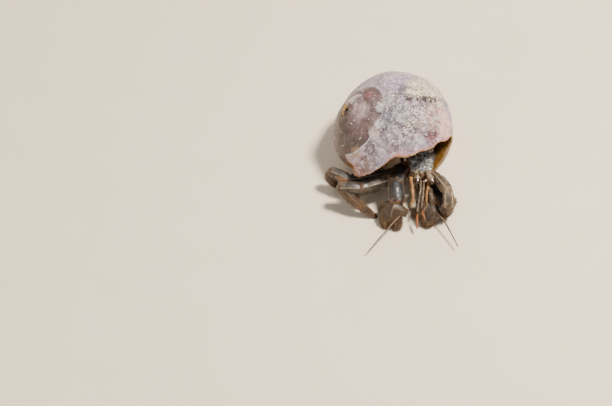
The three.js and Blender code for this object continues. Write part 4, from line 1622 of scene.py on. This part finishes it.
@dataclass(frozen=True)
class Body:
    """The soft body, one skin from behind the head to the tip that winds up inside the shell."""

    shell: SnailShell
    middle: float = 1.15
    first_turn: float = -1.5
    last_turn: float = -5.0
    narrow: float = 0.8
    start_size: float = 0.60  # in shell units, as the tail's
    tail_size: float = 0.28
    front: Sequence[Place] = ((9.0, -4.6, 7.4), (8.4, -0.6, 9.0), (6.8, 5.4, 11.8))
    front_thick: Sequence[float] = (5.6, 6.6, 6.6)

    def path(self) -> tuple[list[np.ndarray], list[float]]:
        """The body's middle line and its thickness along it."""
        places = [np.array(place) for place in self.front]
        thick = list(self.front_thick)
        for turn in np.linspace(self.first_turn, self.last_turn, 8):
            share = (turn - self.first_turn) / (self.last_turn - self.first_turn)
            size = self.shell.unit * self.shell.growth ** (turn / TURN)
            local = np.array([size * self.middle * math.cos(turn), -size * self.middle * math.sin(turn),
                              -size * self.shell.drop])
            places.append(self.shell.world(local[None, :])[0])
            width = self.start_size + (self.tail_size - self.start_size) * share
            thick.append(2 * size * self.narrow * width)
        return places, thick

    def build(self, finishes: Finishes) -> bpy.types.Object:
        """Builds the skin.

        Args:
            finishes: The materials.

        Returns:
            The skin.
        """
        places, thick = self.path()
        skin = Feeler(places, thick, (0.1, 0.17, 0.24), 0.05, 34, 0.02, rows=200, columns=64).loft()
        return skin.build("body_skin", finishes.body, "body", ["thorax", "abdomen"])


@dataclass(frozen=True)
class SmallLeg:
    """A small leg that grips the shell from inside."""

    name: str
    places: Sequence[Place]
    seed: float

    def build(self, finishes: Finishes) -> None:
        """Builds the leg.

        Args:
            finishes: The materials.
        """
        leg = Feeler(self.places, (1.6, 1.4, 1.1, 0.8), (0.35, 0.65), 0.2, rows=70, columns=28,
                     seed=self.seed)
        leg.loft().dress(self.name, finishes.foot, "limb")


@dataclass(frozen=True)
class SandPatch:
    """Grains of sand around one place on the shell."""

    place: Place
    spread: float
    count: int
    size: float
    heap: float = 0.0


@dataclass(frozen=True)
class Sand:
    """Grains that stick to the shell."""

    shell: bpy.types.Object
    patches: Sequence[SandPatch]
    seed: int = SEED
    rows: int = 6  # of each grain
    columns: int = 8
    cap: float = 0.22  # the angle left to each of its flat ends

    def build(self, finishes: Finishes) -> bpy.types.Object:
        """Builds all the grains as one mesh.

        Args:
            finishes: The materials.

        Returns:
            The grains.
        """
        rng = np.random.default_rng(self.seed)
        ball_faces = capped_faces(self.rows, self.columns)
        polar = np.linspace(self.cap, math.pi - self.cap, self.rows)[:, None]
        turn = np.linspace(0, TURN, self.columns, endpoint=False)[None, :]
        ball = np.stack([np.sin(polar) * np.cos(turn), np.sin(polar) * np.sin(turn),
                         np.cos(polar) * np.ones_like(turn)], -1).reshape(-1, 3)
        points, faces, tints = [], [], []
        for patch in self.patches:
            for _ in range(patch.count):
                near = np.asarray(patch.place) + rng.normal(0, patch.spread, 3)
                hit, place, normal, _ = self.shell.closest_point_on_mesh(Vector((near - MIDDLE) * MM))
                if not hit:
                    continue
                size = patch.size * rng.uniform(0.45, 1.2)
                stretch = rng.uniform(0.6, 1.15, 3) * size / 2
                lumps = 1 + rng.normal(0, 0.10, (len(ball), 1))
                lift = patch.heap * rng.random() ** 1.5 + 0.18 * size
                middle = np.array(place) / MM + MIDDLE + np.array(normal) * lift
                start = len(points) * len(ball)
                points.append(ball * lumps * stretch @ self.turned(rng) + middle)
                faces += [tuple(start + corner for corner in face) for face in ball_faces]
                tints.append(np.full(len(ball), rng.random()))
        obj = make_object("shell_sand", np.concatenate(points), faces, finishes.sand,
                          {"tint": np.concatenate(tints)})
        return obj

    @staticmethod
    def turned(rng: np.random.Generator) -> np.ndarray:
        """A random rotation."""
        matrix, _ = np.linalg.qr(rng.normal(size=(3, 3)))
        return matrix


# --------------------------------------------------------------------------- set


@dataclass(frozen=True)
class Studio:
    """Floor, lights and camera."""

    target_mm: Place = (-25.75, -8.44, 0.0)
    crab_mm: Place = (0.16, -0.32, 12.0)
    azimuth: float = -3.61
    elevation: float = 48.83
    distance: float = 0.450
    lens: float = 87.45

    def build(self) -> None:
        """Builds the set."""
        self.build_floor()
        self.build_lights()
        self.build_camera()

    def build_floor(self) -> None:
        """Builds a plain pale floor."""
        mesh = bpy.data.meshes.new("floor")
        reach = 3.0
        mesh.from_pydata([(-reach, -reach, 0), (reach, -reach, 0), (reach, reach, 0), (-reach, reach, 0)],
                         [], [(0, 1, 2, 3)])
        s = Shader("floor")
        grain = s.noise(60.0, 6.0)
        s.set(Base_Color=s.mix(grain, (0.74, 0.60, 0.43), (0.80, 0.67, 0.50)), Roughness=0.9)
        mesh.materials.append(s.material)
        floor = bpy.data.objects.new("floor", mesh)
        bpy.context.scene.collection.objects.link(floor)

    def build_lights(self) -> None:
        """Builds a large soft key from the right, a fill and a pale sky."""
        for name, place, energy, size, color in (
                ("key", (0.22, -0.02, 0.55), 9.0, 0.10, (1.0, 0.96, 0.89)),
                ("fill", (-0.45, -0.35, 0.45), 1.6, 0.5, (0.93, 0.96, 1.0)),
                ("back", (-0.1, 0.6, 0.35), 1.4, 0.4, (1.0, 0.98, 0.95))):
            data = bpy.data.lights.new(name, "AREA")
            data.energy = energy
            data.size = size
            data.color = color
            light = bpy.data.objects.new(name, data)
            light.location = place
            light.rotation_euler = (-Vector(place)).to_track_quat("-Z", "Y").to_euler()
            bpy.context.scene.collection.objects.link(light)
        world = bpy.data.worlds.new("sky")
        world.use_nodes = True
        background = next(n for n in world.node_tree.nodes if n.type == "BACKGROUND")
        background.inputs["Color"].default_value = (0.80, 0.84, 0.90, 1.0)
        background.inputs["Strength"].default_value = 0.35
        bpy.context.scene.world = world

    def build_camera(self) -> None:
        """Builds the camera, turned so that the crab stands to the right of the middle and above it."""
        high = math.radians(self.elevation)
        crab = Vector(self.crab_mm) * MM
        turn = math.radians(self.azimuth)
        back = Vector((math.sin(turn) * math.cos(high), -math.cos(turn) * math.cos(high), math.sin(high)))
        place = crab + self.distance * back
        data = bpy.data.cameras.new("camera")
        data.lens = self.lens
        camera = bpy.data.objects.new("camera", data)
        camera.location = place
        look = Vector(self.target_mm) * MM - place
        camera.rotation_euler = look.to_track_quat("-Z", "Y").to_euler()
        bpy.context.scene.collection.objects.link(camera)
        bpy.context.scene.camera = camera


LEG_JOINTS = {
    "leg2_right": ((3.6, -2.6, 6.6), (0.6, -4.4, 7.2), (-8.6, -9.9, 9.0), (-14.8, -9.7, 8.8),
                   (-9.6, -12.3, 4.4), (-4.4, -13.4, 0)),
    "leg3_right": ((3.2, 0.6, 5.6), (-0.6, -0.9, 6.1), (-12.2, -5.4, 7.6), (-17.8, -2.9, 8.4),
                   (-18.6, -2.4, 4.4), (-16.0, -1.8, 0)),
    "leg2_left": ((13.0, -2.6, 7.6), (14.1, -5.2, 9.0), (16.5, -12.3, 12.0), (16.7, -14.9, 9.0),
                  (17.4, -13.6, 4.2), (16.2, -12.4, 0)),
    "leg3_left": ((12.4, -2.2, 5.8), (14.2, -4.4, 5.9), (16.8, -7.8, 6.6), (17.8, -10.6, 5.6),
                  (18.4, -10.2, 3.4), (18.2, -9.0, 0)),
}
LEG_SIZES = {"leg2_right": 1.22, "leg3_right": 1.04, "leg2_left": 1.1, "leg3_left": 1.0}
CLAWS = (
    Claw("claw_right", ((3.2, -1.0, 9.4), (0.9, -6.2, 9.2), (1.7, -12.3, 6.9), (0.5, -15.0, 3.6),
                        (-0.3, -17.8, 0)), 1.0, 1, 21.0),
    Claw("claw_left", ((10.8, -3.6, 4.6), (13.8, -7.0, 4.6), (13.0, -11.2, 5.4), (10.3, -13.8, 3.0),
                       (9.1, -15.0, 0)), 1.06, -1, 31.0),
)
SMALL_LEGS = (
    SmallLeg("leg4_right", ((5.0, 4.6, 10.4), (3.4, 3.2, 9.4), (3.6, 1.0, 8.4)), 41.0),
    SmallLeg("leg4_left", ((11.6, 3.6, 12.4), (12.9, 1.6, 12.9), (12.8, -0.4, 11.8)), 42.0),
)
SAND_PATCHES = (
    SandPatch((5.4, 13.2, 29.2), 1.0, 420, 0.46, 0.45),
    SandPatch((7.6, 12.4, 29.0), 1.2, 620, 0.46, 0.55),
    SandPatch((10.2, 11.4, 28.4), 1.2, 620, 0.46, 0.75),
    SandPatch((4.2, 10.0, 30.1), 0.40, 110, 0.55, 0.35),
    SandPatch((5.6, 9.5, 30.1), 0.42, 130, 0.60, 0.35),
    SandPatch((7.2, 9.6, 29.8), 0.42, 130, 0.60, 0.60),
    SandPatch((9.0, 10.4, 29.1), 0.45, 130, 0.60, 0.80),
    SandPatch((10.8, 10.7, 28.4), 0.45, 130, 0.60, 0.90),
    SandPatch((12.6, 11.4, 27.1), 0.50, 130, 0.55, 0.80),
    SandPatch((8.6, 15.6, 27.9), 1.5, 520, 0.46, 0.8),
    SandPatch((11.8, 13.6, 26.9), 1.4, 460, 0.46, 0.8),
    SandPatch((13.2, 8.2, 26.9), 0.6, 160, 0.44, 0.5),
    SandPatch((6.0, 4.0, 28.6), 3.2, 420, 0.40),
    SandPatch((4.0, 0.0, 27.2), 2.0, 160, 0.40),
    SandPatch((-0.6, 9.5, 28.4), 1.5, 130, 0.35),
    SandPatch((-3.2, 9.0, 27.0), 1.0, 60, 0.32),
    SandPatch((0.0, 8.0, 20.0), 11.0, 500, 0.30),
)


def main() -> None:
    """Builds the crab, its shell and the set, in that order."""
    logging.basicConfig(level=logging.INFO, format="%(name)s: %(message)s")
    finishes = Finishes()
    snail = SnailShell()
    shell = snail.build(finishes)
    LOG.info("shell: %d faces", len(shell.data.polygons))
    sand = Sand(shell, SAND_PATCHES).build(finishes)
    LOG.info("sand: %d faces", len(sand.data.polygons))
    Body(snail).build(finishes)
    LOG.info("body built")
    Head().build(finishes)
    LOG.info("head built")
    for order, (name, joints) in enumerate(LEG_JOINTS.items()):
        WalkingLeg(name, joints, 5.0 * order + 1, LEG_SIZES[name]).build(finishes)
        LOG.info("%s built", name)
    for claw in CLAWS:
        claw.build(finishes)
        LOG.info("%s built", claw.name)
    for leg in SMALL_LEGS:
        leg.build(finishes)
    Studio().build()
    LOG.info("set built")


if __name__ == "__main__":
    main()
